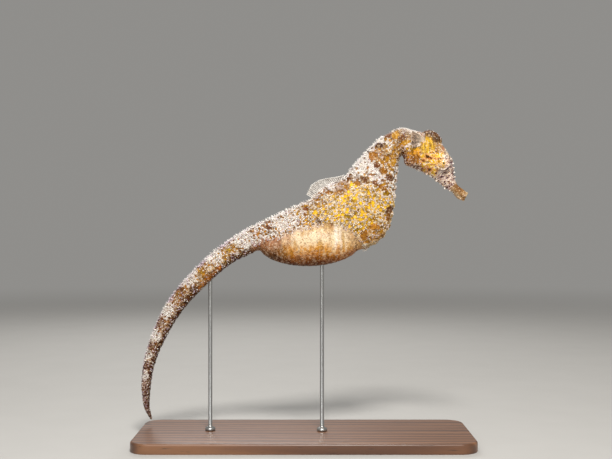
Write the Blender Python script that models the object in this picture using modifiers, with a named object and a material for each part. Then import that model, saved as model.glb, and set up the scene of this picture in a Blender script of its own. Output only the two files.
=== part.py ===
"""A big-belly seahorse, a male with a full brood pouch, swimming level on a plain display stand.

Metres, +Z up, the snout towards +X and the animal's right side towards -Y. The origin is the
middle of the stand's underside. The body is one loft through named stations, parted where its
pieces are named by thin flat cuts; bony rings stand out along the trunk and the tail.
"""

import math
from collections import namedtuple

import bmesh
import bpy
from mathutils import Matrix, Vector

# ---------------------------------------------------------------- driving sizes, in millimetres
TO_METRES = 0.001
GAP = 0.3  # between pieces that meet
# Points round each section of the body.
SNOUT_POINTS, HEAD_POINTS, TRUNK_POINTS, TAIL_POINTS, TIP_POINTS = 16, 24, 24, 16, 12
TRUNK_RINGS = 12
TAIL_RINGS = 47
TAIL_PITCH_POWER = 1.25  # above 1, so the tail's rings grow shorter towards its tip
RING_RISE = 0.025  # how far a ring's crest stands out, as a share of the section
HEAD_PITCH = 1.55  # between the head's sections

HEAD_TURN = math.radians(-9.0)  # the head looks a little to the animal's right
HEAD_TURN_AXIS_X = 49.0
HEAD_TURN_FROM_X, HEAD_TURN_TO_X = 46.0, 60.0
TAIL_SWAY = 13.0  # how far the tail's tip has swung to the animal's left
TAIL_SWAY_TOP_Z, TAIL_SWAY_TIP_Z = 105.0, 10.0
TAIL_SWAY_POWER = 1.6
TAIL_SWAY_FROM_X, TAIL_SWAY_TO_X = -8.0, -34.0

EYE_CENTRE = Vector((69.3, 3.7, 138.2))
EYE_RADIUS = 3.3

POUCH_CENTRE = Vector((3.0, 0.0, 99.6))
POUCH_HALF_SIZE = Vector((26.5, 9.6, 12.4))
POUCH_TILT = math.radians(-2.0)

CROWN_CENTRE = Vector((63.5, 0.0, 151.2))
CROWN_HALF_SIZE = Vector((6.0, 3.5, 3.8))
CROWN_TILT = math.radians(28.0)
CROWN_LOBES = 5
CROWN_LOBE_DEPTH = 0.12

# Low swellings of the head: where each is on the left side, how wide, and how far it stands out.
Swelling = namedtuple("Swelling", "centre radius rise")
SWELLINGS = (
    Swelling(Vector((58.6, 6.0, 146.2)), 7.0, 1.1),  # gill cover
    Swelling(Vector((69.6, 4.2, 144.6)), 2.4, 1.3),  # eye spine
    Swelling(Vector((57.2, 5.4, 138.4)), 2.0, 1.0),  # cheek spine
    Swelling(Vector((74.1, 0.8, 140.8)), 2.2, 0.8),  # nose spine
)

FIN_THICKNESS = 0.6
FIN_ROOT_DEPTH = 1.1  # how far a fin's root is let into the body
DORSAL_RAYS, PECTORAL_RAYS, ANAL_RAYS = 19, 9, 4
DORSAL_FAN = ((1.2, 108), (3.1, 128), (4.8, 136), (5.6, 143), (4.0, 149))  # ray length, lean
PECTORAL_ROOT_X, PECTORAL_ROOT_Z = 60.0, 150.2  # high behind the gill cover
PECTORAL_BASE, PECTORAL_LENGTH, PECTORAL_SPREAD = 2.6, 7.4, math.radians(24)
PECTORAL_SWING = math.radians(26)  # out from the head's side
ANAL_LENGTH, ANAL_BASE = 1.8, 1.5

BASE_LENGTH, BASE_WIDTH, BASE_THICKNESS = 166.0, 62.0, 5.0
BASE_CORNER, BASE_CORNER_STEPS = 9.0, 6
BASE_EDGE, BASE_EDGE_STEPS = 1.0, 2
ROD_RADIUS, ROD_STEPS = 1.0, 16
ROD_SOCKET_DEPTH = 3.5
FERRULE_RADIUS, FERRULE_HEIGHT = 2.6, 2.0
ROD_FRONT_X, ROD_REAR_X = 9.0, -47.0

# Each station is one section of the body: its point on the back, its point on the belly, its half
# width, how square it is above and below (2 is round), and how far down its widest level is.
Station = namedtuple("Station", "name back belly half_width above below waist")
STATIONS = (
    Station("mouth", (81.9, 123.6), (79.9, 119.7), 1.5, 2.0, 2.0, 0.50),
    Station("lip", (79.6, 125.4), (76.9, 120.6), 2.1, 2.1, 2.1, 0.50),
    Station("snout_waist", (76.0, 128.7), (72.9, 124.8), 2.1, 2.1, 2.1, 0.50),
    Station("snout_base", (75.0, 131.6), (69.6, 126.8), 2.8, 2.1, 2.1, 0.50),
    Station("nose", (74.6, 135.3), (65.6, 130.1), 3.7, 2.0, 2.0, 0.50),
    Station("brow", (73.9, 139.3), (61.5, 133.0), 5.0, 1.9, 2.0, 0.48),
    Station("eye", (71.9, 143.7), (57.6, 134.8), 5.9, 1.9, 2.0, 0.50),
    Station("cheek", (69.2, 148.1), (54.5, 136.2), 6.4, 1.8, 2.1, 0.55),
    Station("crown", (65.0, 151.8), (51.9, 137.2), 6.3, 1.8, 2.1, 0.58),
    Station("gill_cover", (60.2, 154.0), (50.3, 138.2), 6.1, 1.9, 2.1, 0.55),
    Station("nape", (54.5, 155.5), (49.7, 141.3), 5.6, 2.1, 2.1, 0.50),
    Station("arch", (49.5, 156.6), (48.8, 142.7), 5.3, 2.2, 2.2, 0.50),
    Station("neck", (41.5, 153.8), (47.6, 141.0), 5.4, 2.3, 2.1, 0.50),
    Station("neck_foot", (33.5, 147.2), (46.7, 135.2), 6.2, 2.3, 2.0, 0.48),
    Station("shoulder", (25.6, 138.6), (45.7, 125.8), 7.3, 2.3, 1.9, 0.46),
    Station("fin_front", (19.0, 131.3), (44.6, 115.5), 8.3, 2.3, 1.8, 0.45),
    Station("belly", (12.5, 128.4), (41.9, 105.4), 9.0, 2.4, 1.8, 0.44),
    Station("fin_rear", (7.6, 125.0), (33.8, 97.4), 9.0, 2.5, 1.9, 0.44),
    Station("vent", (3.4, 120.7), (25.6, 95.4), 8.5, 2.8, 2.4, 0.46),
    Station("pouch_front", (-1.0, 118.5), (13.0, 105.0), 7.8, 3.0, 3.0, 0.50),
    Station("pouch_middle", (-8.5, 115.3), (0.0, 103.3), 6.9, 3.2, 3.2, 0.50),
    Station("pouch_rear", (-17.0, 111.3), (-12.0, 99.8), 6.1, 3.2, 3.2, 0.50),
    Station("tail_root", (-26.0, 107.0), (-21.8, 95.6), 5.4, 3.2, 3.2, 0.50),
    Station("tail_fifth", (-42.8, 96.3), (-36.5, 88.5), 4.5, 3.2, 3.2, 0.50),
    Station("tail_two_fifths", (-56.6, 83.6), (-49.7, 77.2), 4.1, 3.2, 3.2, 0.50),
    Station("tail_half", (-68.2, 69.8), (-60.8, 65.4), 3.8, 3.2, 3.2, 0.50),
    Station("tail_three_fifths", (-75.6, 55.5), (-68.8, 52.9), 3.4, 3.1, 3.1, 0.50),
    Station("tail_four_fifths", (-81.2, 38.5), (-75.8, 37.4), 2.7, 3.0, 3.0, 0.50),
    Station("tail_bend", (-82.7, 22.6), (-78.5, 22.6), 2.0, 2.8, 2.8, 0.50),
    Station("tail_end", (-81.6, 13.6), (-78.9, 14.5), 1.3, 2.4, 2.4, 0.50),
    Station("tail_tip", (-78.7, 8.0), (-77.8, 8.6), 0.6, 2.0, 2.0, 0.50),
)

Finish = namedtuple("Finish", "name colour roughness metallic")
GOLD_SKIN = Finish("gold_skin", (0.62, 0.36, 0.10), 0.62, 0.0)
PALE_SKIN = Finish("pale_skin", (0.74, 0.60, 0.44), 0.62, 0.0)
POUCH_SKIN = Finish("pouch_skin", (0.66, 0.38, 0.20), 0.55, 0.0)
FIN_SKIN = Finish("fin_skin", (0.80, 0.76, 0.66), 0.45, 0.0)
EYE_GLASS = Finish("eye_glass", (0.55, 0.36, 0.12), 0.12, 0.0)
STAND_WOOD = Finish("stand_wood", (0.16, 0.085, 0.045), 0.40, 0.0)
STAND_STEEL = Finish("stand_steel", (0.62, 0.62, 0.60), 0.30, 1.0)


# ---------------------------------------------------------------- the body as one smooth loft
def smoothstep(low, high, value):
    """0 at low and before it, 1 at high and past it, and a smooth rise between them."""
    share = min(1.0, max(0.0, (value - low) / (high - low)))
    return share * share * (3 - 2 * share)


def middle(station):
    return (Vector(station.back) + Vector(station.belly)) / 2


def station_places():
    """How far each station lies along the line through the sections' middles, from the mouth."""
    places = [0.0]
    for before, after in zip(STATIONS, STATIONS[1:]):
        places.append(places[-1] + (middle(after) - middle(before)).length)
    return places


PLACES = station_places()
PLACE_OF = {station.name: place for station, place in zip(STATIONS, PLACES)}
NUMBERS = [
    (*s.back, *s.belly, s.half_width, s.above, s.below, s.waist) for s in STATIONS
]


def slope(index, column):
    """The curve's slope at a station: that of the parabola through it and its two neighbours."""
    if index in (0, len(PLACES) - 1):
        other = 1 if index == 0 else index - 1
        return (NUMBERS[other][column] - NUMBERS[index][column]) / (PLACES[other] - PLACES[index])
    before = PLACES[index] - PLACES[index - 1]
    after = PLACES[index + 1] - PLACES[index]
    into = (NUMBERS[index][column] - NUMBERS[index - 1][column]) / before
    out_of = (NUMBERS[index + 1][column] - NUMBERS[index][column]) / after
    return (into * after + out_of * before) / (before + after)


def section_numbers(place):
    """The station table's numbers at a place between two stations, on a cubic curve."""
    place = min(max(place, PLACES[0]), PLACES[-1])
    index = max(i for i in range(len(PLACES) - 1) if PLACES[i] <= place)
    step = PLACES[index + 1] - PLACES[index]
    t = (place - PLACES[index]) / step
    start = (1 + 2 * t) * (1 - t) ** 2
    end = t * t * (3 - 2 * t)
    leave = t * (1 - t) ** 2 * step
    arrive = t * t * (t - 1) * step
    return [
        start * NUMBERS[index][c]
        + end * NUMBERS[index + 1][c]
        + leave * slope(index, c)
        + arrive * slope(index + 1, c)
        for c in range(len(NUMBERS[0]))
    ]


def posed(point):
    """A point of the straight, symmetric body, moved with the turned head and the swung tail."""
    turn = HEAD_TURN * smoothstep(HEAD_TURN_FROM_X, HEAD_TURN_TO_X, point.x)
    pivot = Vector((HEAD_TURN_AXIS_X, 0, 0))
    moved = Matrix.Rotation(turn, 3, "Z") @ (point - pivot) + pivot
    low = (TAIL_SWAY_TOP_Z - point.z) / (TAIL_SWAY_TOP_Z - TAIL_SWAY_TIP_Z)
    share = max(0.0, low) ** TAIL_SWAY_POWER
    moved.y += TAIL_SWAY * share * smoothstep(TAIL_SWAY_FROM_X, TAIL_SWAY_TO_X, point.x)
    return moved


def swelling_at(point):
    """How far the head's swellings lift a point of its surface."""
    left = Vector((point.x, abs(point.y), point.z))
    lift = 0.0
    for swelling in SWELLINGS:
        lift += swelling.rise * math.exp(-((left - swelling.centre).length / swelling.radius) ** 2 * 2)
    return lift


def section(place, count, grow=0.0, rise=0.0, shift=0.0):
    """One closed section of the body, count points from the middle of the back round its left.

    grow is added all round in millimetres, rise as a share of the section, and shift moves the
    section along the body."""
    back_x, back_z, belly_x, belly_z, half_width, above, below, waist = section_numbers(place)
    back, belly = Vector((back_x, 0, back_z)), Vector((belly_x, 0, belly_z))
    up = (back - belly).normalized()
    along = up.cross(Vector((0, 1, 0)))
    heart = back.lerp(belly, waist)
    points = []
    for index in range(count):
        angle = 2 * math.pi * index / count
        cosine, sine = math.cos(angle), math.sin(angle)
        squareness = above if cosine > 0 else below
        height = (back - heart).length if cosine > 0 else (belly - heart).length
        lift = math.copysign(abs(cosine) ** (2 / squareness), cosine)
        side = math.copysign(abs(sine) ** (2 / squareness), sine)
        lift *= height * (1 + rise) + grow
        side *= half_width * (1 + rise) + grow
        point = heart + up * lift + Vector((0, 1, 0)) * side
        point += (point - heart).normalized() * swelling_at(point)
        points.append(point + along * shift)
    return points


def ring_places():
    """The crest of each bony ring: twelve round the trunk, then those of the tail."""
    first, last = PLACE_OF["arch"], PLACE_OF["fin_rear"]
    pitch = (last - first) / TRUNK_RINGS
    crests = [first + pitch * (k + 0.5) for k in range(TRUNK_RINGS)]
    length = PLACES[-1] - last
    edges = [last + length * (1 - (1 - k / TAIL_RINGS) ** TAIL_PITCH_POWER)
             for k in range(TAIL_RINGS + 1)]
    return crests + [(a + b) / 2 for a, b in zip(edges, edges[1:])]


def section_places():
    """(place, rise) of every section of the loft: plain ones on the head, crest and groove behind."""
    head_end = PLACE_OF["arch"]
    count = round(head_end / HEAD_PITCH)
    found = [(head_end * k / count, 0.0) for k in range(count)]
    crests = ring_places()
    for before, after in zip([head_end] + crests, crests):
        found.append(((before + after) / 2, 0.0))
        found.append((after, RING_RISE))
    found.append((PLACES[-1], 0.0))
    return found


# ---------------------------------------------------------------- meshes and objects
def collection_named(name):
    made = bpy.data.collections.new(name)
    bpy.context.scene.collection.children.link(made)
    return made


def material_of(finish):
    """The Principled material of a finish, made once."""
    found = bpy.data.materials.get(finish.name)
    if found:
        return found
    made = bpy.data.materials.new(finish.name)
    made.use_nodes = True
    shader = made.node_tree.nodes["Principled BSDF"]
    shader.inputs["Base Color"].default_value = (*finish.colour, 1)
    shader.inputs["Roughness"].default_value = finish.roughness
    shader.inputs["Metallic"].default_value = finish.metallic
    return made


def add_object(name, mesh_data, collection, finish=None, smooth_angle=50):
    made = bpy.data.objects.new(name, mesh_data)
    collection.objects.link(made)
    if finish:
        mesh_data.materials.append(material_of(finish))
    if smooth_angle and hasattr(mesh_data, "shade_smooth"):
        mesh_data.shade_smooth()
        mesh_data.set_sharp_from_angle(angle=math.radians(smooth_angle))
    return made


def mesh_from(bm, name):
    """The bmesh, given in millimetres, as mesh data in metres with its faces pointing out."""
    bmesh.ops.recalc_face_normals(bm, faces=bm.faces)
    bmesh.ops.scale(bm, vec=(TO_METRES,) * 3, verts=bm.verts)
    made = bpy.data.meshes.new(name)
    bm.to_mesh(made)
    bm.free()
    return made


def loft_between(start, end, name, count, grow=0.0, inset=GAP / 2):
    """The closed length of body between two places, each end cut back by inset."""
    rows = [(start, 0.0, inset)]
    rows += [(p, r, 0.0) for p, r in section_places() if start + GAP < p < end - GAP]
    rows += [(end, 0.0, -inset)]
    bm = bmesh.new()
    rings = [
        [bm.verts.new(posed(p)) for p in section(place, count, grow, rise, shift)]
        for place, rise, shift in rows
    ]
    for ring, following in zip(rings, rings[1:]):
        for k in range(count):
            j = (k + 1) % count
            bm.faces.new((ring[k], ring[j], following[j], following[k]))
    bm.faces.new(rings[0])
    bm.faces.new(rings[-1])
    return mesh_from(bm, name)


def cut(piece, cutter, solver="EXACT"):
    change = piece.modifiers.new("cut by " + cutter.name, "BOOLEAN")
    change.operation = "DIFFERENCE"
    change.solver = solver
    change.object = cutter


def as_cutter(made):
    made.hide_render = True
    made.display_type = "WIRE"
    return made


def ball_mesh(name, centre, half_size, tilt=0.0, lobes=0, lobe_depth=0.0, segments=28, rings=16):
    """An ellipsoid, tilted about the Y axis, its rim drawn in between lobes if there are any."""
    bm = bmesh.new()
    bmesh.ops.create_uvsphere(bm, u_segments=segments, v_segments=rings, radius=1.0)
    turn = Matrix.Rotation(tilt, 3, "Y")
    for vert in bm.verts:
        angle = math.atan2(vert.co.y, vert.co.x)
        draw = 1 - lobe_depth * (0.5 - 0.5 * math.cos(lobes * angle)) if lobes else 1.0
        local = Vector((vert.co.x * draw, vert.co.y * draw, vert.co.z))
        local = Vector(a * b for a, b in zip(local, half_size))
        vert.co = posed(centre + turn @ local)
    return mesh_from(bm, name)


def plate_mesh(name, outline, thickness, place_it):
    """A plate of the closed outline, drawn as a filled 2D curve and put in place by place_it.

    The outline is in the plate's own X and Z; its thickness is along the plate's own Y."""
    curve = bpy.data.curves.new(name, "CURVE")
    curve.dimensions = "2D"
    curve.fill_mode = "BOTH"
    curve.extrude = thickness / 2
    spline = curve.splines.new("POLY")
    spline.points.add(len(outline) - 1)
    for point, (x, z) in zip(spline.points, outline):
        point.co = (x, z, 0, 1)
    spline.use_cyclic_u = True
    holder = bpy.data.objects.new(name + "_curve", curve)
    bpy.context.scene.collection.objects.link(holder)
    graph = bpy.context.evaluated_depsgraph_get()
    flat = bpy.data.meshes.new_from_object(holder.evaluated_get(graph))
    bpy.data.objects.remove(holder)
    bm = bmesh.new()
    bm.from_mesh(flat)
    bpy.data.meshes.remove(flat)
    bmesh.ops.remove_doubles(bm, verts=bm.verts, dist=1e-4)
    bmesh.ops.rotate(bm, verts=bm.verts, matrix=Matrix.Rotation(math.pi / 2, 3, "X"))
    for vert in bm.verts:
        vert.co = place_it(vert.co)
    return mesh_from(bm, name)


def fan_outline(roots, tips, sink, margin=0.0):
    """A fin's outline: its roots let into the body by sink, then its ray tips back again."""
    low = [root + (root - tip).normalized() * sink for root, tip in zip(roots, tips)]
    ends = (low[0] - low[-1]).normalized() * margin
    low[0], low[-1] = low[0] + ends, low[-1] - ends
    high = [tips[0] + ends, *tips[1:-1], tips[-1] - ends]
    return [tuple(point) for point in low + high[::-1]]


# ---------------------------------------------------------------- the animal
FIN_LEAD = 2.5  # the dorsal fin starts this far in front of the station named for it
LENGTHS = (
    ("snout", 0.0, PLACE_OF["snout_base"], SNOUT_POINTS, GOLD_SKIN),
    ("head", PLACE_OF["snout_base"], PLACE_OF["arch"], HEAD_POINTS, GOLD_SKIN),
    ("neck", PLACE_OF["arch"], PLACE_OF["neck_foot"], TRUNK_POINTS, GOLD_SKIN),
    ("trunk_front", PLACE_OF["neck_foot"], PLACE_OF["fin_front"] - FIN_LEAD, TRUNK_POINTS,
     GOLD_SKIN),
    ("trunk_rear", PLACE_OF["fin_front"] - FIN_LEAD, PLACE_OF["vent"], TRUNK_POINTS, GOLD_SKIN),
    ("tail_base", PLACE_OF["vent"], PLACE_OF["tail_root"], TAIL_POINTS, PALE_SKIN),
    ("tail_upper", PLACE_OF["tail_root"], PLACE_OF["tail_two_fifths"], TAIL_POINTS, PALE_SKIN),
    ("tail_middle", PLACE_OF["tail_two_fifths"], PLACE_OF["tail_three_fifths"], TAIL_POINTS,
     PALE_SKIN),
    ("tail_lower", PLACE_OF["tail_three_fifths"], PLACE_OF["tail_bend"], TIP_POINTS, PALE_SKIN),
    ("tail_tip", PLACE_OF["tail_bend"], PLACES[-1], TIP_POINTS, PALE_SKIN),
)


def make_lengths(animal):
    """The body's lengths from the snout to the tail's tip."""
    return {
        name: add_object(name, loft_between(start, end, name, count), animal, finish)
        for name, start, end, count, finish in LENGTHS
    }


def make_eyes(animal, cutters, head):
    for name, side in (("eye_left", 1), ("eye_right", -1)):
        centre = Vector((EYE_CENTRE.x, side * EYE_CENTRE.y, EYE_CENTRE.z))
        ball = ball_mesh(name, centre, Vector((EYE_RADIUS,) * 3), segments=18, rings=10)
        add_object(name, ball, animal, EYE_GLASS)
        room = Vector((EYE_RADIUS + GAP,) * 3)
        socket = ball_mesh(name + "_socket", centre, room, segments=18, rings=10)
        cut(head, as_cutter(add_object(name + "_socket", socket, cutters)))


def make_crown(animal, cutters):
    """The low, lobed coronet on top of the head."""
    mound = ball_mesh("coronet", CROWN_CENTRE, CROWN_HALF_SIZE, CROWN_TILT,
                      CROWN_LOBES, CROWN_LOBE_DEPTH, segments=20, rings=10)
    crown = add_object("coronet", mound, animal, GOLD_SKIN)
    bed = loft_between(PLACE_OF["eye"], PLACE_OF["neck"], "crown_bed", HEAD_POINTS, GAP, 0.0)
    cut(crown, as_cutter(add_object("crown_bed", bed, cutters)))


def make_pouch(animal, cutters):
    """The swollen brood pouch, which wraps the underside of the tail's first rings."""
    sack = ball_mesh("brood_pouch", POUCH_CENTRE, POUCH_HALF_SIZE, POUCH_TILT,
                     segments=28, rings=16)
    pouch = add_object("brood_pouch", sack, animal, POUCH_SKIN)
    for name, start, end, count in (
        ("belly_bed", PLACE_OF["fin_front"], PLACE_OF["vent"] + GAP, TRUNK_POINTS),
        ("pouch_bed", PLACE_OF["vent"], PLACE_OF["tail_fifth"], TAIL_POINTS),
    ):
        bed = loft_between(start, end, name, count, GAP, 0.0)
        cut(pouch, as_cutter(add_object(name, bed, cutters)))
    return pouch


def make_dorsal_fin(animal, cutters, trunk_rear):
    """The fan along the last trunk rings, tallest in its middle, its rear rays leaning back."""
    start, end = PLACE_OF["fin_front"] - FIN_LEAD + 1.0, PLACE_OF["vent"] - 1.6
    roots, tips = [], []
    for k in range(DORSAL_RAYS):
        share = k / (DORSAL_RAYS - 1)
        back = section(start + (end - start) * share, TRUNK_POINTS)[0]
        at = min(share * (len(DORSAL_FAN) - 1), len(DORSAL_FAN) - 1.001)
        lower, upper = DORSAL_FAN[int(at)], DORSAL_FAN[int(at) + 1]
        height, lean = (a + (b - a) * (at - int(at)) for a, b in zip(lower, upper))
        lean = math.radians(lean)
        roots.append(Vector((back.x, back.z)))
        tips.append(roots[-1] + Vector((math.cos(lean), math.sin(lean))) * height)
    fin = plate_mesh("dorsal_fin", fan_outline(roots, tips, FIN_ROOT_DEPTH), FIN_THICKNESS, posed)
    add_object("dorsal_fin", fin, animal, FIN_SKIN, smooth_angle=0)
    slot = plate_mesh("dorsal_slot", fan_outline(roots, tips, FIN_ROOT_DEPTH + GAP, GAP),
                      FIN_THICKNESS + 2 * GAP, posed)
    cut(trunk_rear, as_cutter(add_object("dorsal_slot", slot, cutters)))


def flank_at(x, z, start, end):
    """The point of the left flank, between two places, that lies at x and z."""
    steps = 40
    choices = [point for k in range(steps + 1)
               for point in section(start + (end - start) * k / steps, 60)[:31]]
    return min(choices, key=lambda point: (point.x - x) ** 2 + (point.z - z) ** 2)


def make_pectoral_fins(animal, cutters, head):
    """The two small ear-like fans behind the gill covers."""
    angles = [PECTORAL_SPREAD * (1 - 2 * k / (PECTORAL_RAYS - 1)) for k in range(PECTORAL_RAYS)]
    roots = [Vector((0, PECTORAL_BASE / 2 * angle / PECTORAL_SPREAD)) for angle in angles]
    tips = [root + Vector((-math.cos(angle), math.sin(angle))) * PECTORAL_LENGTH
            for root, angle in zip(roots, angles)]
    flank = flank_at(PECTORAL_ROOT_X, PECTORAL_ROOT_Z, PLACE_OF["cheek"], PLACE_OF["nape"])
    for name, side in (("pectoral_fin_left", 1), ("pectoral_fin_right", -1)):
        root = Vector((flank.x, side * flank.y, flank.z))
        turn = Matrix.Rotation(-side * PECTORAL_SWING, 3, "Z")

        def place_it(local, root=root, turn=turn):
            return posed(root + turn @ local)

        fin = plate_mesh(name, fan_outline(roots, tips, FIN_ROOT_DEPTH), FIN_THICKNESS, place_it)
        add_object(name, fin, animal, FIN_SKIN, smooth_angle=0)
        slot = plate_mesh(name + "_slot", fan_outline(roots, tips, FIN_ROOT_DEPTH + GAP, GAP),
                          FIN_THICKNESS + 2 * GAP, place_it)
        cut(head, as_cutter(add_object(name + "_slot", slot, cutters)))


def make_anal_fin(animal, cutters, trunk_rear):
    """The tiny fan at the vent, in front of the pouch."""
    place = PLACE_OF["fin_rear"] + 2.2
    roots, tips = [], []
    for k in range(ANAL_RAYS):
        share = k / (ANAL_RAYS - 1) - 0.5
        belly = section(place + share * ANAL_BASE, 4)[2]
        lean = math.radians(236 - 24 * share)
        roots.append(Vector((belly.x, belly.z)))
        tips.append(roots[-1] + Vector((math.cos(lean), math.sin(lean))) * ANAL_LENGTH)
    fin = plate_mesh("anal_fin", fan_outline(roots, tips, FIN_ROOT_DEPTH), FIN_THICKNESS, posed)
    add_object("anal_fin", fin, animal, FIN_SKIN, smooth_angle=0)
    slot = plate_mesh("anal_slot", fan_outline(roots, tips, FIN_ROOT_DEPTH + GAP, GAP),
                      FIN_THICKNESS + 2 * GAP, posed)
    cut(trunk_rear, as_cutter(add_object("anal_slot", slot, cutters)))


# ---------------------------------------------------------------- the display stand
def turned(name, profile, place, collection, finish=None):
    """A turned piece: its profile, as (radius, height) from the top down, spun round Z."""
    shape = bpy.data.meshes.new(name)
    corners = [(radius * TO_METRES, 0, height * TO_METRES) for radius, height in profile]
    shape.from_pydata(corners, [(k, k + 1) for k in range(len(corners) - 1)], [])
    made = add_object(name, shape, collection, finish, smooth_angle=0)
    made.location = (place.x * TO_METRES, place.y * TO_METRES, 0)
    spin = made.modifiers.new("turn", "SCREW")
    spin.steps = spin.render_steps = ROD_STEPS
    spin.use_merge_vertices = True
    spin.merge_threshold = 1e-6
    return made


def underside_at(x, start, end):
    """The belly's point at x, between two places, as posed."""
    for _ in range(40):
        centre = (start + end) / 2
        if section(centre, 4)[2].x > x:
            start = centre
        else:
            end = centre
    return posed(section(centre, 4)[2])


def make_rod(name, foot, stand, cutters, base, body):
    """A steel rod from a socket in the base to a socket in the body above it."""
    top = foot.z + ROD_SOCKET_DEPTH
    seat = BASE_THICKNESS + GAP
    bottom = 1.5
    turned(name, (
        (0, top), (ROD_RADIUS, top), (ROD_RADIUS, seat + FERRULE_HEIGHT),
        (FERRULE_RADIUS, seat + FERRULE_HEIGHT * 0.6), (FERRULE_RADIUS, seat),
        (ROD_RADIUS, seat), (ROD_RADIUS, bottom), (0, bottom),
    ), foot, stand, STAND_STEEL)
    bore = ROD_RADIUS + GAP
    for owner, high, low in ((body, top + GAP, foot.z - 3 * ROD_SOCKET_DEPTH),
                             (base, BASE_THICKNESS + 1, bottom - GAP)):
        cutter = turned(f"{owner.name}_bore", ((0, high), (bore, high), (bore, low), (0, low)),
                        foot, cutters)
        cut(owner, as_cutter(cutter))


def make_base(stand):
    """The flat wooden base, its corners and its upper edge rounded."""
    bm = bmesh.new()
    bmesh.ops.create_cube(bm, size=1.0)
    bmesh.ops.scale(bm, vec=(BASE_LENGTH, BASE_WIDTH, BASE_THICKNESS), verts=bm.verts)
    bmesh.ops.translate(bm, vec=(0, 0, BASE_THICKNESS / 2), verts=bm.verts)
    corners = [e for e in bm.edges if abs(e.verts[0].co.z - e.verts[1].co.z) > 1]
    bmesh.ops.bevel(bm, geom=corners, offset=BASE_CORNER, segments=BASE_CORNER_STEPS,
                    profile=0.5, affect="EDGES", material=-1)
    rim = [e for e in bm.edges if min(v.co.z for v in e.verts) > BASE_THICKNESS - 0.01]
    bmesh.ops.bevel(bm, geom=rim, offset=BASE_EDGE, segments=BASE_EDGE_STEPS, profile=0.5,
                    affect="EDGES", material=-1)
    return add_object("stand_base", mesh_from(bm, "stand_base"), stand, STAND_WOOD)


def main():
    for found in list(bpy.data.objects):
        bpy.data.objects.remove(found)
    animal = collection_named("seahorse")
    stand = collection_named("stand")
    cutters = collection_named("cutters")
    lengths = make_lengths(animal)
    make_eyes(animal, cutters, lengths["head"])
    make_crown(animal, cutters)
    pouch = make_pouch(animal, cutters)
    make_dorsal_fin(animal, cutters, lengths["trunk_rear"])
    make_pectoral_fins(animal, cutters, lengths["head"])
    make_anal_fin(animal, cutters, lengths["trunk_rear"])
    base = make_base(stand)
    pouch_foot = Vector((ROD_FRONT_X, 0, POUCH_CENTRE.z - POUCH_HALF_SIZE.z))
    make_rod("stand_rod_front", pouch_foot, stand, cutters, base, pouch)
    tail_foot = underside_at(ROD_REAR_X, PLACE_OF["tail_root"], PLACE_OF["tail_two_fifths"])
    make_rod("stand_rod_rear", tail_foot, stand, cutters, base, lengths["tail_upper"])


main()
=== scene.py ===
"""A still, life-size big-belly seahorse on a plain display stand, dressed for its portrait.

The animal is shaped in millimetres on a straight, symmetric body, whose snout points to +X and
whose left side is +Y. Turning the head, swinging the tail and the change to metres come last.
"""

from __future__ import annotations

import logging
from dataclasses import dataclass, field, fields
from enum import Enum
from itertools import product
from math import atan2, cos, pi, radians, sin
from typing import Any, Callable, Sequence

import bmesh
import bpy
import numpy as np
from mathutils import Matrix, Vector
from mathutils.kdtree import KDTree

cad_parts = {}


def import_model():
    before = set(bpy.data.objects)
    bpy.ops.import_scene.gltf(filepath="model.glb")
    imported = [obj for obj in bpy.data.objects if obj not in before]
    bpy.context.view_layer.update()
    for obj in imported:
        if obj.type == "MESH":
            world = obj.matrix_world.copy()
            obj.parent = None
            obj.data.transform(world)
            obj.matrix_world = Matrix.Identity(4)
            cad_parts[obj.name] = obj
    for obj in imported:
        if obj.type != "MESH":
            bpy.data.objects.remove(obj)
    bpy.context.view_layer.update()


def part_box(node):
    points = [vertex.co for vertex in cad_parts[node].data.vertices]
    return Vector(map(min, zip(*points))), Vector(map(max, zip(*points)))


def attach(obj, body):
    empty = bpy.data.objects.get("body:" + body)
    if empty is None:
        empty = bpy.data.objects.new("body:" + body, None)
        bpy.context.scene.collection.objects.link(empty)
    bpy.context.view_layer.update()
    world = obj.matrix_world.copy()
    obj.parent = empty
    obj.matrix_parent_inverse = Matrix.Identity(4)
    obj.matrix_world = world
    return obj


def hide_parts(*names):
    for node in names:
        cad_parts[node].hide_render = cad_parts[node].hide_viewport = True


log = logging.getLogger("seahorse")
TO_METRES = 0.001
Array = np.ndarray
Dice = np.random.Generator
Mesh = bpy.types.Mesh
Finish = bpy.types.Material
Piece = bpy.types.Object
Colour = tuple[float, float, float]
Point = tuple[float, float, float]
Pair = tuple[float, float]
PLAIN: Colour = (1.0, 1.0, 1.0)


# ---- small sums
def rise(low: float, high: float, value: Array) -> Array:
    """0 at low and before it, 1 at high and past it, and a smooth rise between them."""
    share = np.clip((value - low) / (high - low), 0.0, 1.0)
    return share * share * (3 - 2 * share)


def hump(value: Array, middle: float, width: float) -> Array:
    """A smooth hump, 1 at middle, that has nearly gone at twice width from it."""
    return np.exp(-(((value - middle) / width) ** 2))


def tone(red: float, green: float, blue: float) -> Colour:
    """A colour given in everyday 0 to 255 steps, as the linear light the shaders use."""
    steps = np.array([red, green, blue]) / 255
    linear = np.where(steps <= 0.04045, steps / 12.92, ((steps + 0.055) / 1.055) ** 2.4)
    return tuple(float(v) for v in linear)


def mixed(under: Array, over: Array | Colour, share: Array | float) -> Array:
    """Colours under, covered by the colour or colours over by share."""
    return under + (np.asarray(over) - under) * np.broadcast_to(share, len(under))[:, None]


def between(under: Colour, over: Colour, share: Array) -> Array:
    """Colours on the way from one colour to another, one for each share."""
    return mixed(np.tile(under, (len(share), 1)), over, share)


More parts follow.
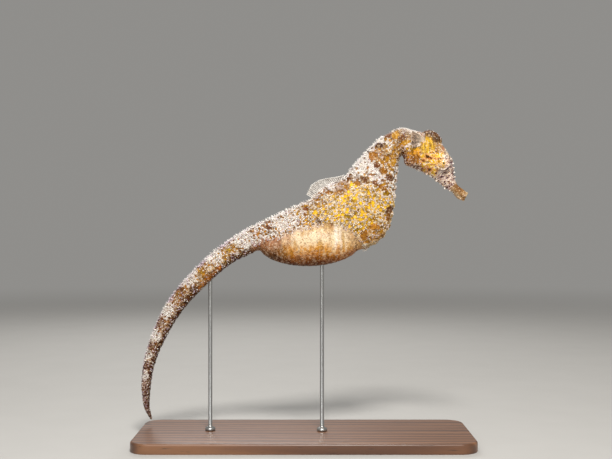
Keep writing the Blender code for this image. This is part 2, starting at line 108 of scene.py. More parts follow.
def cloud(points: Array, size: float, seed: int) -> Array:
    """Smooth noise from -1 to 1 at points, its lumps about size across."""
    scaled = points / size + seed * 7.31
    cell = np.floor(scaled)
    part = scaled - cell
    part = part * part * (3 - 2 * part)
    total = np.zeros(len(points))
    for corner in product((0, 1), repeat=3):
        at = cell + corner
        noise = np.sin(at @ np.array([127.1, 311.7, 74.7]) + seed * 3.7) * 43758.5453
        weight = np.prod(np.where(corner, part, 1 - part), axis=1)
        total += weight * (noise - np.floor(noise))
    return total * 2 - 1


def lengths(vectors: Array) -> Array:
    """The length of each row."""
    return np.sqrt((vectors * vectors).sum(axis=1))


def unit(vectors: Array) -> Array:
    """Each row at length one."""
    return vectors / np.maximum(lengths(vectors), 1e-9)[:, None]


def along_path(points: Array, width: float, *path: Pair) -> Array:
    """A smooth ridge, 1 along a line through the path's 2D points."""
    nearest = np.full(len(points), 1e9)
    for start, end in zip(np.array(path[:-1], float), np.array(path[1:], float)):
        run = end - start
        share = np.clip(((points - start) @ run) / (run @ run), 0, 1)
        nearest = np.minimum(nearest, lengths(points - start - share[:, None] * run))
    return hump(nearest, 0, width)


def read_off(at: Array, stops: Sequence[float], rows: Array | Sequence) -> Array:
    """A table's rows at values between its stops, on straight lines."""
    return np.stack([np.interp(at, stops, column) for column in np.transpose(rows)], axis=1)


def to_left(points: Array) -> Array:
    """Points, mirrored to the animal's left where they lie on its right."""
    return points * [1, 0, 1] + np.abs(points) * [0, 1, 0]


def abreast(*columns: Array | float) -> Array:
    """Columns of numbers, or one number for a whole column, side by side."""
    return np.stack(np.broadcast_arrays(*columns), axis=1)


def tree_of(points: Array) -> KDTree:
    """A search tree of the points."""
    tree = KDTree(len(points))
    for index, point in enumerate(points):
        tree.insert(point, index)
    tree.balance()
    return tree


def nearest_of(tree: KDTree, points: Array) -> tuple[Array, Array]:
    """The index of the tree's nearest point to each point, and its distance."""
    found = [tree.find(point)[1:] for point in points]
    return np.array([f[0] for f in found]), np.array([f[1] for f in found])


def scattered(points: Array, gaps: Array, rng: Dice) -> Array:
    """Indices of points picked at random that keep at least their gap from one another."""
    tree = tree_of(points)
    free = np.ones(len(points), bool)
    picked = []
    for index in rng.permutation(len(points)):
        if free[index]:
            picked.append(index)
            for _, other, _ in tree.find_range(points[index], gaps[index]):
                free[other] = False
    return np.array(picked, int)


# ---- meshes
Shape = Callable[[Array, Array], Array]


def mesh_of(name: str, bm: bmesh.types.BMesh) -> Mesh:
    """The mesh that the bmesh holds; the bmesh is freed."""
    made = bpy.data.meshes.new(name)
    bm.to_mesh(made)
    bm.free()
    return made


def placed(bm: bmesh.types.BMesh, verts: Sequence, size: Sequence[float],
           move: Sequence[float] = (0, 0, 0)) -> None:
    """Scales the bmesh's corners by size and then moves them."""
    bmesh.ops.scale(bm, vec=tuple(size), verts=verts)
    bmesh.ops.translate(bm, vec=tuple(move), verts=verts)


def joined(name: str, parts: Sequence[Mesh]) -> Mesh:
    """All the parts as one mesh."""
    bm = bmesh.new()
    for part in parts:
        bm.from_mesh(part)
    return mesh_of(name, bm)


def rolled(name: str, columns: int, rows: int, shape: Shape, caps: bool = True) -> Mesh:
    """A grid whose corners shape puts in place, its meeting edges welded.

    Args:
        name: the mesh's name.
        columns: steps along the grid's first way.
        rows: steps along its second way.
        shape: gives points from the two shares, each 0 to 1.
        caps: whether open ends are closed.

    Returns:
        The mesh, in shape's own units.
    """
    bm = bmesh.new()
    bmesh.ops.create_grid(bm, x_segments=columns, y_segments=rows, size=0.5)
    flat = np.array([vert.co[:2] for vert in bm.verts]) + 0.5
    for vert, point in zip(bm.verts, shape(flat[:, 0], flat[:, 1])):
        vert.co = point
    bmesh.ops.remove_doubles(bm, verts=bm.verts, dist=1e-4)
    if caps:
        bmesh.ops.holes_fill(bm, edges=bm.edges, sides=0)
    bmesh.ops.recalc_face_normals(bm, faces=bm.faces)
    return mesh_of(name, bm)


def ball(name: str, centre: Sequence[float], half_size: Sequence[float], tilt: float = 0.0,
         segments: int = 96, rings: int = 48, lobes: int = 0, depth: float = 0.0) -> Mesh:
    """An ellipsoid.

    Args:
        name: the mesh's name.
        centre: its middle.
        half_size: its half length, half width and half height.
        tilt: its turn about Y.
        segments: steps round it.
        rings: steps from pole to pole.
        lobes: the points of its rim.
        depth: how far the rim is drawn in between them, as a share.

    Returns:
        The mesh.
    """
    bm = bmesh.new()
    bmesh.ops.create_uvsphere(bm, u_segments=segments, v_segments=rings, radius=1.0)
    turn = Matrix.Rotation(tilt, 3, "Y")
    for vert in bm.verts:
        around = atan2(vert.co.y, vert.co.x)
        draw = 1 - depth * (0.5 - 0.5 * cos(lobes * around))
        local = Vector((vert.co.x * draw * half_size[0], vert.co.y * draw * half_size[1],
                        vert.co.z * half_size[2]))
        vert.co = Vector(centre) + turn @ local
    return mesh_of(name, bm)


def read(items: Sequence, key: str, width: int, kind: type = float) -> Array:
    """A property of each of a mesh's items, width numbers in a row."""
    flat = np.empty(len(items) * width, kind)
    items.foreach_get(key, flat)
    return flat.reshape(-1, width)


def points_of(mesh: Mesh) -> Array:
    """The mesh's corners as an array."""
    return read(mesh.vertices, "co", 3)


def normals_of(mesh: Mesh) -> Array:
    """The way out at each of the mesh's corners."""
    return read(mesh.vertex_normals, "vector", 3)


def put_points(mesh: Mesh, points: Array) -> None:
    """Moves the mesh's corners to points."""
    mesh.vertices.foreach_set("co", np.ascontiguousarray(points, float).ravel())
    mesh.update()


def put_attribute(mesh: Mesh, name: str, values: Array) -> None:
    """Stores a number, a vector or a colour for each of the mesh's corners."""
    width = 1 if values.ndim == 1 else values.shape[1]
    kind, key = {1: ("FLOAT", "value"), 3: ("FLOAT_VECTOR", "vector"),
                 4: ("FLOAT_COLOR", "color")}[width]
    made = mesh.attributes.new(name, kind, "POINT")
    made.data.foreach_set(key, np.ascontiguousarray(values, np.float32).ravel())


def put_colours(mesh: Mesh, name: str, colours: Array) -> None:
    """Stores an opaque colour for each of the mesh's corners."""
    put_attribute(mesh, name, np.column_stack([colours, np.ones(len(colours))]))


def linked(name: str, data: bpy.types.ID) -> Piece:
    """A new object of the data, at the origin of the scene."""
    made = bpy.data.objects.new(name, data)
    bpy.context.scene.collection.objects.link(made)
    return made


def as_object(name: str, mesh: Mesh, finish: Finish) -> Piece:
    """A smooth-shaded object of the mesh, wearing the finish, at the origin."""
    mesh.shade_smooth()
    mesh.materials.clear()
    mesh.materials.append(finish)
    return linked(name, mesh)


def fit_in(piece: Piece, slot: str, *nodes: str) -> None:
    """The piece rides on the body and stands for the nodes, which it hides."""
    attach(piece, "root")
    if nodes:
        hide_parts(*nodes)
    triangles = sum(len(face.vertices) - 2 for face in piece.data.polygons)
    log.info("%s: %d triangles", piece.name, triangles)


def evaluated(mesh: Mesh, kind: str, **settings: object) -> Mesh:
    """The mesh after one modifier of that kind and those settings."""
    holder = linked(mesh.name + "_raw", mesh)
    change = holder.modifiers.new("change", kind)
    for key, value in settings.items():
        setattr(change, key, value)
    graph = bpy.context.evaluated_depsgraph_get()
    made = bpy.data.meshes.new_from_object(holder.evaluated_get(graph))
    bpy.data.objects.remove(holder)
    return made


# ---- shaders
class Wire:
    """A node's output, which Python's arithmetic extends with Math nodes."""

    def __init__(self, bench: Bench, socket: bpy.types.NodeSocket) -> None:
        """Wraps an output.

        Args:
            bench: the material that the node is in.
            socket: the output.
        """
        self.bench = bench
        self.socket = socket

    def sum(self, operation: str, *values: object) -> Wire:
        """A Math node of the operation on values."""
        return self.bench.add("Math", {"operation": operation}, dict(enumerate(values)))

    def __add__(self, other: object) -> Wire:
        """self + other."""
        return self.sum("ADD", self, other)

    __radd__ = __add__

    def __sub__(self, other: object) -> Wire:
        """self - other."""
        return self.sum("SUBTRACT", self, other)

    def __rsub__(self, other: object) -> Wire:
        """other - self."""
        return self.sum("SUBTRACT", other, self)

    def __mul__(self, other: object) -> Wire:
        """self * other."""
        return self.sum("MULTIPLY", self, other)

    __rmul__ = __mul__

    def step(self, low: float, high: float) -> Wire:
        """0 at low, 1 at high, smooth between; low may be the greater."""
        return self.bench.add("MapRange", {"interpolation_type": "SMOOTHSTEP"},
                              {0: self, 1: low, 2: high, 3: 0.0, 4: 1.0})


class Bench:
    """One material, its Principled shader, and the way nodes are added to it."""

    def __init__(self, name: str, **constants: object) -> None:
        """Starts a material.

        Args:
            name: its name.
            constants: values of the shader's own sockets, underscores for spaces.
        """
        self.material = bpy.data.materials.new(name)
        self.material.use_nodes = True
        self.tree = self.material.node_tree
        self.shader = self.tree.nodes["Principled BSDF"]
        for key, value in constants.items():
            self.shader.inputs[key.replace("_", " ")].default_value = value

    def add(self, kind: str, settings: dict | None = None, inputs: dict | None = None,
            out: int | str = 0) -> Wire:
        """One node.

        Args:
            kind: the node's type, without its "ShaderNode".
            settings: its properties, set before its sockets; stops are a ramp's.
            inputs: values or wires, by socket name or number.
            out: the output to hand back.

        Returns:
            The chosen output.
        """
        node = self.tree.nodes.new("ShaderNode" + kind)
        for key, value in (settings or {}).items():
            if key == "stops":
                ramp = node.color_ramp.elements
                while len(ramp) < len(value):
                    ramp.new(0.5)
                for element, (position, colour) in zip(ramp, value):
                    element.position, element.color = position, (*colour, 1.0)
            else:
                setattr(node, key, value)
        for key, value in (inputs or {}).items():
            self.put(node.inputs[key], value)
        return Wire(self, node.outputs[out])

    def put(self, socket: bpy.types.NodeSocket, value: object) -> None:
        """Links a wire to a socket, or sets the socket's own value."""
        if isinstance(value, Wire):
            self.tree.links.new(value.socket, socket)
        elif socket.type == "RGBA" and len(value) == 3:
            socket.default_value = (*value, 1.0)
        else:
            socket.default_value = value

    def feed(self, **links: object) -> None:
        """Links wires to the shader's sockets, underscores for spaces."""
        for key, value in links.items():
            self.put(self.shader.inputs[key.replace("_", " ")], value)

    def stored(self, name: str, out: str = "Fac") -> Wire:
        """An attribute of the mesh: Fac, Vector or Color."""
        return self.add("Attribute", {"attribute_name": name}, out=out)

    def own_place(self) -> Wire:
        """Where a point is on its own object."""
        return self.add("TexCoord", out="Object")

    def scaled(self, at: Wire, scale: Point, turn: Point = (0.0, 0.0, 0.0)) -> Wire:
        """A position, turned and scaled."""
        return self.add("Mapping", {}, {"Vector": at, "Scale": scale, "Rotation": turn})

    def length(self, at: Wire) -> Wire:
        """A vector's length."""
        return self.add("VectorMath", {"operation": "LENGTH"}, {0: at}, out="Value")

    def blend(self, share: object, under: object, over: object, how: str = "MIX") -> Wire:
        """Colour under, covered by over by share."""
        return self.add("Mix", {"data_type": "RGBA", "blend_type": how},
                        {0: share, 6: under, 7: over}, out=2)

    def shade(self, share: object, under: object, over: object) -> Wire:
        """Colour under, multiplied by over by share."""
        return self.blend(share, under, over, "MULTIPLY")

    def noise(self, at: Wire, scale: float, detail: float = 3.0, rough: float = 0.55) -> Wire:
        """Noise from 0 to 1 at a position."""
        return self.add("TexNoise", {},
                        {"Vector": at, "Scale": scale, "Detail": detail, "Roughness": rough})

    def chance(self, at: Wire, scale: float) -> Wire:
        """A number from 0 to 1, the same all over each small cell."""
        cell = self.add("TexVoronoi", {}, {"Vector": at, "Scale": scale}, out="Color")
        return self.add("SeparateColor", {}, {"Color": cell})

    def parts(self, at: Wire) -> list[Wire]:
        """A vector's three numbers."""
        split = self.add("SeparateXYZ", {}, {"Vector": at})
        return [Wire(self, output) for output in split.socket.node.outputs]

    def ramp(self, value: Wire, *stops: tuple[float, Colour]) -> Wire:
        """The colour at a value along a row of stops."""
        return self.add("ValToRGB", {"stops": stops}, {0: value})

    def bump(self, height: Wire, depth: float, strength: float = 1.0) -> None:
        """Roughens the shader by a height from 0 to 1 that stands for depth metres."""
        self.feed(Normal=self.add(
            "Bump", {}, {"Strength": strength, "Distance": depth, "Height": height}))


# ---- the form of the body
def later() -> Any:
    """A dataclass field that a method fills in."""
    return field(init=False, repr=False)


@dataclass(frozen=True)
class Station:
    """One cut across of the straight body, in millimetres.

    Its point on the back and on the belly as (x, z), its half width, how square it is above and
    below (2 is round), and how far down its widest level is.
    """

    name: str
    back: Pair
    belly: Pair
    half_width: float
    above: float
    below: float
    waist: float = 0.5


STATIONS = tuple(Station(*row) for row in (
    ("mouth", (81.9, 123.6), (79.9, 119.7), 1.5, 2, 2),
    ("lip", (79.6, 125.4), (76.9, 120.6), 2.1, 2.1, 2.1),
    ("snout_waist", (76, 128.7), (72.9, 124.8), 2.1, 2.1, 2.1),
    ("snout_base", (75, 131.6), (69.6, 126.8), 2.8, 2.1, 2.1),
    ("nose", (74.6, 135.3), (65.6, 130.1), 3.7, 2, 2),
    ("brow", (73.9, 139.3), (61.5, 133), 5, 1.9, 2, 0.48),
    ("eye", (71.9, 143.7), (57.6, 134.8), 5.9, 1.9, 2),
    ("cheek", (69.2, 148.1), (54.5, 136.2), 6.4, 1.8, 2.1, 0.55),
    ("crown", (65, 151.8), (51.9, 137.2), 6.3, 1.8, 2.1, 0.58),
    ("gill_cover", (60.2, 154), (50.3, 138.2), 6.1, 1.9, 2.1, 0.55),
    ("nape", (54.5, 155.5), (49.7, 141.3), 5.6, 2.1, 2.1),
    ("arch", (49.5, 156.6), (48.8, 142.7), 5.3, 2.2, 2.2),
    ("neck", (41.5, 153.8), (47.6, 141), 5.4, 2.3, 2.1),
    ("neck_foot", (33.5, 147.2), (46.7, 135.2), 6.2, 2.3, 2, 0.48),
    ("shoulder", (25.6, 138.6), (45.7, 125.8), 7.3, 2.3, 1.9, 0.46),
    ("fin_front", (19, 131.3), (44.6, 115.5), 8.3, 2.3, 1.8, 0.45),
    ("belly", (12.5, 128.4), (41.9, 105.4), 9, 2.4, 1.8, 0.44),
    ("fin_rear", (7.6, 125), (33.8, 97.4), 9, 2.5, 1.9, 0.44),
    ("vent", (3.4, 120.7), (25.6, 95.4), 8.5, 2.8, 2.4, 0.46),
    ("pouch_front", (-1, 118.5), (13, 105), 7.8, 3, 3),
    ("pouch_middle", (-8.5, 115.3), (0, 103.3), 6.9, 3.2, 3.2),
    ("pouch_rear", (-17, 111.3), (-12, 99.8), 6.1, 3.2, 3.2),
    ("tail_root", (-26, 107), (-21.8, 95.6), 5.4, 3.2, 3.2),
    ("tail_fifth", (-42.8, 96.3), (-36.5, 88.5), 4.5, 3.2, 3.2),
    ("tail_two_fifths", (-56.6, 83.6), (-49.7, 77.2), 4.1, 3.2, 3.2),
    ("tail_half", (-68.2, 69.8), (-60.8, 65.4), 3.8, 3.2, 3.2),
    ("tail_three_fifths", (-75.6, 55.5), (-68.8, 52.9), 3.4, 3.1, 3.1),
    ("tail_four_fifths", (-81.2, 38.5), (-75.8, 37.4), 2.7, 3, 3),
    ("tail_bend", (-82.7, 22.6), (-78.5, 22.6), 2, 2.8, 2.8),
    ("tail_end", (-81.6, 13.6), (-78.9, 14.5), 1.3, 2.4, 2.4),
    ("tail_tip", (-78.7, 8), (-77.8, 8.6), 0.6, 2, 2),
))


@dataclass(frozen=True)
class Section:
    """Cuts across the body: their middles, ways up and along, and sizes, as a Station gives."""

    heart: Array
    up: Array
    along: Array
    width: Array
    high: Array
    low: Array
    above: Array
    below: Array


@dataclass(frozen=True)
class Swelling:
    """A low bump of the head, given on the left side."""

    centre: Point
    radius: float
    height: float


@dataclass
class Body:
    """The straight body's form, the places along it, and the pose it is bent into."""

    head_turn: float = radians(-9.0)
    head_turn_x: float = 49.0
    head_turn_run: Pair = (46.0, 60.0)
    tail_sway: float = 13.0
    tail_sway_heights: Pair = (105.0, 10.0)
    tail_sway_power: float = 1.6
    tail_sway_run: Pair = (-8.0, -34.0)
    trunk_rings: int = 12
    tail_rings: int = 47
    tail_pitch_power: float = 1.25
    swellings: tuple[Swelling, ...] = (
        Swelling((58.6, 6.0, 146.2), 7.0, 1.1),
        Swelling((69.6, 4.2, 144.6), 2.4, 1.3),
        Swelling((57.2, 5.4, 138.4), 2.0, 1.0),
        Swelling((74.1, 0.8, 140.8), 2.2, 0.8),
    )
    rows: Array = later()
    slopes: Array = later()
    places: Array = later()
    place_of: dict[str, float] = later()
    end: float = later()

    def __post_init__(self) -> None:
        """Works out the stations' places and the slopes between them."""
        self.rows = np.array([[*s.back, *s.belly, s.half_width, s.above, s.below, s.waist]
                              for s in STATIONS])
        middles = (self.rows[:, 0:2] + self.rows[:, 2:4]) / 2
        steps = lengths(np.diff(middles, axis=0))
        self.places = np.concatenate([[0.0], np.cumsum(steps)])
        self.place_of = {s.name: float(p) for s, p in zip(STATIONS, self.places)}
        self.end = float(self.places[-1])
        rates = np.diff(self.rows, axis=0) / steps[:, None]
        inner = (rates[:-1] * steps[1:, None] + rates[1:] * steps[:-1, None])
        inner /= (steps[:-1] + steps[1:])[:, None]
        self.slopes = np.vstack([rates[:1], inner, rates[-1:]])

    def numbers(self, place: Array) -> Array:
        """The station table's numbers at places between stations, on cubic curves."""
        place = np.clip(place, 0.0, self.end)
        index = np.clip(np.searchsorted(self.places, place, side="right") - 1, 0,
                        len(self.places) - 2)
        step = (self.places[index + 1] - self.places[index])[:, None]
        t = (place[:, None] - self.places[index][:, None]) / step
        return ((1 + 2 * t) * (1 - t) ** 2 * self.rows[index]
                + t * t * (3 - 2 * t) * self.rows[index + 1]
                + t * (1 - t) ** 2 * step * self.slopes[index]
                + t * t * (t - 1) * step * self.slopes[index + 1])

    def section(self, place: Array) -> Section:
        """The cuts across the body at places."""
        n = self.numbers(place)
        back, belly = abreast(n[:, 0], 0, n[:, 1]), abreast(n[:, 2], 0, n[:, 3])
        up = unit(back - belly)
        along = abreast(-up[:, 2], 0, up[:, 0])
        heart = back + (belly - back) * n[:, 7:8]
        return Section(heart, up, along, n[:, 4], lengths(back - heart), lengths(belly - heart),
                       n[:, 5], n[:, 6])

    def run(self, start: str, end: str, place: Array) -> Array:
        """0 at one station and 1 at another, with a smooth rise between them."""
        return rise(self.place_of[start], self.place_of[end], place)

    def surface(self, place: Array, angle: Array, grow: Array | float = 0.0) -> Array:
        """Points of the body's surface.

        Args:
            place: how far along the body, from the mouth.
            angle: how far round it, from the back towards the left.
            grow: how far outside the form.

        Returns:
            The points of the straight body.
        """
        f = self.section(place)
        cosine, sine = np.cos(angle), np.sin(angle)
        square = np.where(cosine > 0, f.above, f.below)
        height = np.where(cosine > 0, f.high, f.low)
        lift = np.copysign(np.abs(cosine) ** (2 / square), cosine) * (height + grow)
        side = np.copysign(np.abs(sine) ** (2 / square), sine) * (f.width + grow)
        points = f.heart + f.up * lift[:, None]
        points[:, 1] += side
        swell = np.zeros(len(points))
        for s in self.swellings:
            swell += s.height * np.exp(-2 * (lengths(to_left(points) - s.centre) / s.radius) ** 2)
        return points + unit(points - f.heart) * swell[:, None]

    def locate(self, points: Array) -> tuple[Array, Array, Array]:
        """Where points lie on the body.

        Args:
            points: points at or near the straight body's surface.

        Returns:
            Each one's place, angle, and distance from its section's middle as a share of the
            form's own distance there.
        """
        columns, rows = 260, 40
        u, v = np.meshgrid(np.linspace(0, self.end, columns),
                           np.linspace(-pi, pi, rows, endpoint=False), indexing="ij")
        samples = self.surface(u.ravel(), v.ravel())
        index, _ = nearest_of(tree_of(samples), points)
        place = u.ravel()[index].copy()

        def off(at: Array) -> Array:
            """How far along the body points lie from the cuts at some places."""
            f = self.section(at)
            return ((points - f.heart) * f.along).sum(axis=1)

        for _ in range(7):
            here = off(place)
            slope = (off(place + 0.1) - here) / 0.1
            slope = np.where(np.abs(slope) < 0.25, -0.25, slope)
            place = np.clip(place - np.clip(here / slope, -1.0, 1.0), 0, self.end)
        f = self.section(place)
        lift = ((points - f.heart) * f.up).sum(axis=1)
        high = np.where(lift > 0, f.high, f.low)
        angle = np.arctan2(points[:, 1] / f.width, lift / high)
        outer = lengths(self.surface(place, angle) - f.heart)
        return place, angle, lengths(points - f.heart) / outer

    def pose(self, points: Array) -> Array:
        """Points of the straight body, moved with the turned head and the swung tail."""
        turn = self.head_turn * rise(*self.head_turn_run, points[:, 0])
        ahead = points[:, 0] - self.head_turn_x
        moved = points.copy()
        moved[:, 0] = self.head_turn_x + ahead * np.cos(turn) - points[:, 1] * np.sin(turn)
        moved[:, 1] = ahead * np.sin(turn) + points[:, 1] * np.cos(turn)
        top, low = self.tail_sway_heights
        share = np.clip((top - points[:, 2]) / (top - low), 0, None) ** self.tail_sway_power
        start, end = self.tail_sway_run
        moved[:, 1] += self.tail_sway * share * rise(-start, -end, -points[:, 0])
        return moved

    def side_chart(self, points: Array) -> Array:
        """Where points, taken to the right flank, show from the animal's right side, as (x, z)."""
        return self.pose(to_left(points) * [1, -1, 1])[:, [0, 2]]

    def settle(self, mesh: Mesh, points: Array) -> None:
        """Moves the mesh's corners to points of the straight body, posed and in metres."""
        put_points(mesh, self.pose(points) * TO_METRES)

    def ring_crests(self) -> Array:
        """The place of each bony ring's crest."""
        first, last = self.place_of["arch"], self.place_of["fin_rear"]
        pitch = (last - first) / self.trunk_rings
        trunk = first + pitch * (np.arange(self.trunk_rings) + 0.5)
        share = 1 - np.arange(self.tail_rings + 1) / self.tail_rings
        edges = last + (self.end - last) * (1 - share ** self.tail_pitch_power)
        return np.concatenate([trunk, (edges[1:] + edges[:-1]) / 2])


# ---- colours and markings
WHITE = tone(252, 246, 238)
CREAM = tone(242, 224, 190)
SHELL = tone(222, 196, 172)
YELLOW = tone(252, 210, 40)
GOLD = tone(226, 180, 28)
AMBER = tone(186, 136, 36)
OCHRE = tone(152, 100, 30)
ORANGE = tone(196, 116, 20)
BROWN = tone(104, 60, 24)
RUST = tone(116, 62, 22)
UMBER = tone(60, 30, 10)
PLUM = tone(80, 46, 54)
MAUVE = tone(168, 142, 150)
GREY = tone(140, 122, 104)
PEACH = tone(232, 182, 132)
ROSE = tone(178, 124, 90)
TAN = tone(166, 118, 68)
DUN = tone(204, 172, 136)
EARTH = tone(100, 62, 26)
IVORY = tone(244, 222, 184)
LILAC = tone(210, 190, 208)
SAND = tone(212, 164, 104)
CLAY = tone(168, 104, 70)


@dataclass(frozen=True)
class Zone:
    """The markings round one station.

    The pale net's and the bare spots' colours on back, flank and belly, the spots' radius, the
    share that granules cover, and the tufts' length on back, flank and belly, in millimetres.
    """

    station: str
    net: tuple[Colour, Colour, Colour]
    spot: tuple[Colour, Colour, Colour]
    radius: float
    cover: float
    tuft: Point

    def row(self) -> list[float]:
        """The zone as one row of numbers."""
        colours = [part for colour in (*self.net, *self.spot) for part in colour]
        return [*colours, self.radius, self.cover, *self.tuft]


# The tail's belly colours (EARTH, UMBER) are partly its own dark underside and partly painted shade
# beneath it.
ZONES = tuple(Zone(*row) for row in (
    ("mouth", (CREAM, TAN, CREAM), (TAN, TAN, TAN), 0, 0, (0, 0, 0)),
    ("lip", (TAN, TAN, PEACH), (BROWN, BROWN, TAN), 0, 0.05, (0, 0, 0)),
    ("snout_waist", (SHELL, ROSE, ROSE), (PLUM, BROWN, TAN), 0.4, 0.25, (0.3, 0.2, 0.4)),
    ("snout_base", (SHELL, SHELL, SHELL), (PLUM, PLUM, BROWN), 0.55, 0.6, (0.4, 0.3, 0.7)),
    ("nose", (SHELL, SHELL, SHELL), (PLUM, PLUM, BROWN), 0.6, 0.5, (0.5, 0.3, 0.7)),
    ("brow", (SHELL, IVORY, SHELL), (PLUM, ROSE, BROWN), 0.55, 0.35, (0.4, 0.3, 0.7)),
    ("eye", (CREAM, CREAM, SHELL), (OCHRE, AMBER, BROWN), 0.55, 0.25, (0.4, 0.2, 0.7)),
    ("cheek", (DUN, PEACH, SHELL), (BROWN, AMBER, RUST), 0.55, 0.25, (0.3, 0.1, 0.6)),
    ("crown", (GREY, PEACH, PEACH), (BROWN, GOLD, RUST), 0.5, 0.25, (0.3, 0.1, 0.4)),
    ("gill_cover", (DUN, CREAM, PEACH), (PLUM, GOLD, RUST), 0.66, 0.4, (0.4, 0.2, 0.3)),
    ("arch", (CREAM, PEACH, BROWN), (BROWN, AMBER, RUST), 0.85, 0.8, (0.5, 0.3, 0.2)),
    ("neck", (WHITE, CREAM, CREAM), (BROWN, AMBER, AMBER), 0.92, 0.9, (0.8, 0.4, 0.4)),
    ("neck_foot", (WHITE, IVORY, WHITE), (EARTH, AMBER, AMBER), 0.88, 1, (0.9, 0.4, 0.5)),
    ("shoulder", (WHITE, WHITE, WHITE), (EARTH, OCHRE, AMBER), 0.8, 1, (0.9, 0.4, 0.5)),
    ("fin_front", (WHITE, IVORY, IVORY), (BROWN, GOLD, GOLD), 0.84, 1, (0.6, 0.4, 0.4)),
    ("belly", (WHITE, IVORY, IVORY), (BROWN, GOLD, AMBER), 0.84, 1, (0.6, 0.4, 0.3)),
    ("fin_rear", (WHITE, IVORY, CREAM), (OCHRE, GOLD, OCHRE), 0.8, 1, (0.8, 0.5, 0.3)),
    ("vent", (WHITE, IVORY, CREAM), (OCHRE, GOLD, OCHRE), 0.74, 1, (1, 0.6, 0.3)),
    ("pouch_middle", (WHITE, WHITE, PEACH), (BROWN, AMBER, BROWN), 0.62, 1, (1.1, 0.7, 0.3)),
    ("tail_root", (WHITE, WHITE, EARTH), (BROWN, OCHRE, UMBER), 0.66, 1, (1, 0.6, 0.3)),
    ("tail_fifth", (LILAC, IVORY, EARTH), (PLUM, AMBER, UMBER), 0.74, 1, (1, 0.5, 0.3)),
    ("tail_half", (LILAC, DUN, EARTH), (PLUM, OCHRE, UMBER), 0.7, 1, (0.7, 0.4, 0.3)),
    ("tail_four_fifths", (MAUVE, DUN, EARTH), (PLUM, BROWN, UMBER), 0.6, 0.9, (0.5, 0.4, 0.2)),
    ("tail_end", (GREY, MAUVE, GREY), (PLUM, EARTH, UMBER), 0.4, 0.7, (0.2, 0.2, 0.1)),
    ("tail_tip", (GREY, GREY, GREY), (PLUM, PLUM, PLUM), 0.3, 0.3, (0, 0, 0)),
))


EYE_CENTRE = (69.3, 3.7, 138.2)
EYE_RADIUS = 3.3
CROWN_CENTRE = (63.5, 0.0, 151.2)
CROWN_HALF_SIZE = (6.0, 3.5, 3.8)
CROWN_TILT = radians(28.0)
SNOUT_AHEAD, SNOUT_DOWN = 0.574, 0.819


class Layer(Enum):
    """What a patch of colour changes."""

    NET = "the net, which closes over the spots"
    SPOT = "one big bare spot"
    WASH = "the colour of net and spots alike"
    BARE = "smooth skin of one colour"


@dataclass(frozen=True)
class Patch:
    """A marking seen from the right: its centre and half size along x and z, and its colour."""

    layer: Layer
    x: float
    z: float
    half_length: float
    half_height: float
    colour: Colour
    tilt: float = 0.0
    share: float = 1.0

    def reach(self, chart: Array) -> Array:
        """How far out chart points lie from the patch's middle, 1 on its edge."""
        turn = radians(self.tilt)
        ahead, up = (chart - (self.x, self.z)).T
        along = ahead * cos(turn) + up * sin(turn)
        across = up * cos(turn) - ahead * sin(turn)
        return np.hypot(along / self.half_length, across / self.half_height)


# Each row below has a Patch's fields in order.
NET, SPOT, WASH, BARE = Layer
HEAD = (
    (WASH, 70.5, 144.6, 3, 3.4, CREAM, 0, 0.7),
    (WASH, 65.6, 149, 4.2, 3.2, tone(190, 154, 90), 0, 0.9),
    (WASH, 62.8, 153.4, 7.2, 3.6, tone(122, 98, 76), -16),
    (WASH, 59, 153.2, 3, 2.4, tone(112, 90, 70), 0, 0.8),
    (SPOT, 60.6, 154.2, 1.6, 0.8, tone(128, 100, 84), -10),
    (SPOT, 65.4, 152.6, 1.3, 0.8, tone(140, 108, 76), -30),
    (WASH, 61.6, 147, 3, 5.4, tone(214, 166, 46), 8, 0.9),
    (WASH, 58.2, 144.2, 1.6, 2.4, OCHRE, 0, 0.8),
    (SPOT, 54.8, 144.4, 2.2, 1.8, tone(222, 168, 40), 20),
    (SPOT, 56.6, 142.6, 1.4, 0.9, RUST, -30),
    (WASH, 49.8, 142.6, 2.4, 2.4, RUST, 0, 0.6),
    (WASH, 54.4, 142.6, 3.6, 2.4, tone(212, 146, 34), 10, 0.8),
    (WASH, 53, 139.8, 2.4, 1.2, ROSE, 0, 0.6),
    (WASH, 61.2, 141.8, 4.2, 1.5, ORANGE, 14, 0.8),
    (WASH, 56.4, 140.6, 3.6, 1.5, OCHRE, -28, 0.8),
    (WASH, 62, 138.6, 4.2, 1.6, AMBER, -32, 0.8),
    (SPOT, 68.8, 146.2, 0.9, 1.1, ROSE),
    # Painted shadow: the dark slit in the brow groove between the eye and the brow spine.
    (SPOT, 65.4, 143.8, 1.3, 0.8, UMBER, -42),
    # Painted shadow: the dark strip between the eye's orbit and the snout's ridge.
    (WASH, 73.2, 136.4, 1, 5.4, PLUM, 12),
    (BARE, 77.6, 124.2, 5.6, 2.7, tone(138, 100, 56), -42, 0.95),
    (WASH, 76.4, 126, 1.6, 0.9, BROWN, -50, 0.7),
    (BARE, 75.2, 122.6, 4.4, 1.1, tone(186, 162, 128), -50, 0.8),
    (BARE, 79.8, 125.6, 3.6, 1, tone(186, 162, 128), -50, 0.8),
    (BARE, 81.2, 121.6, 1.5, 2.4, tone(204, 182, 148), 30, 0.85),
)
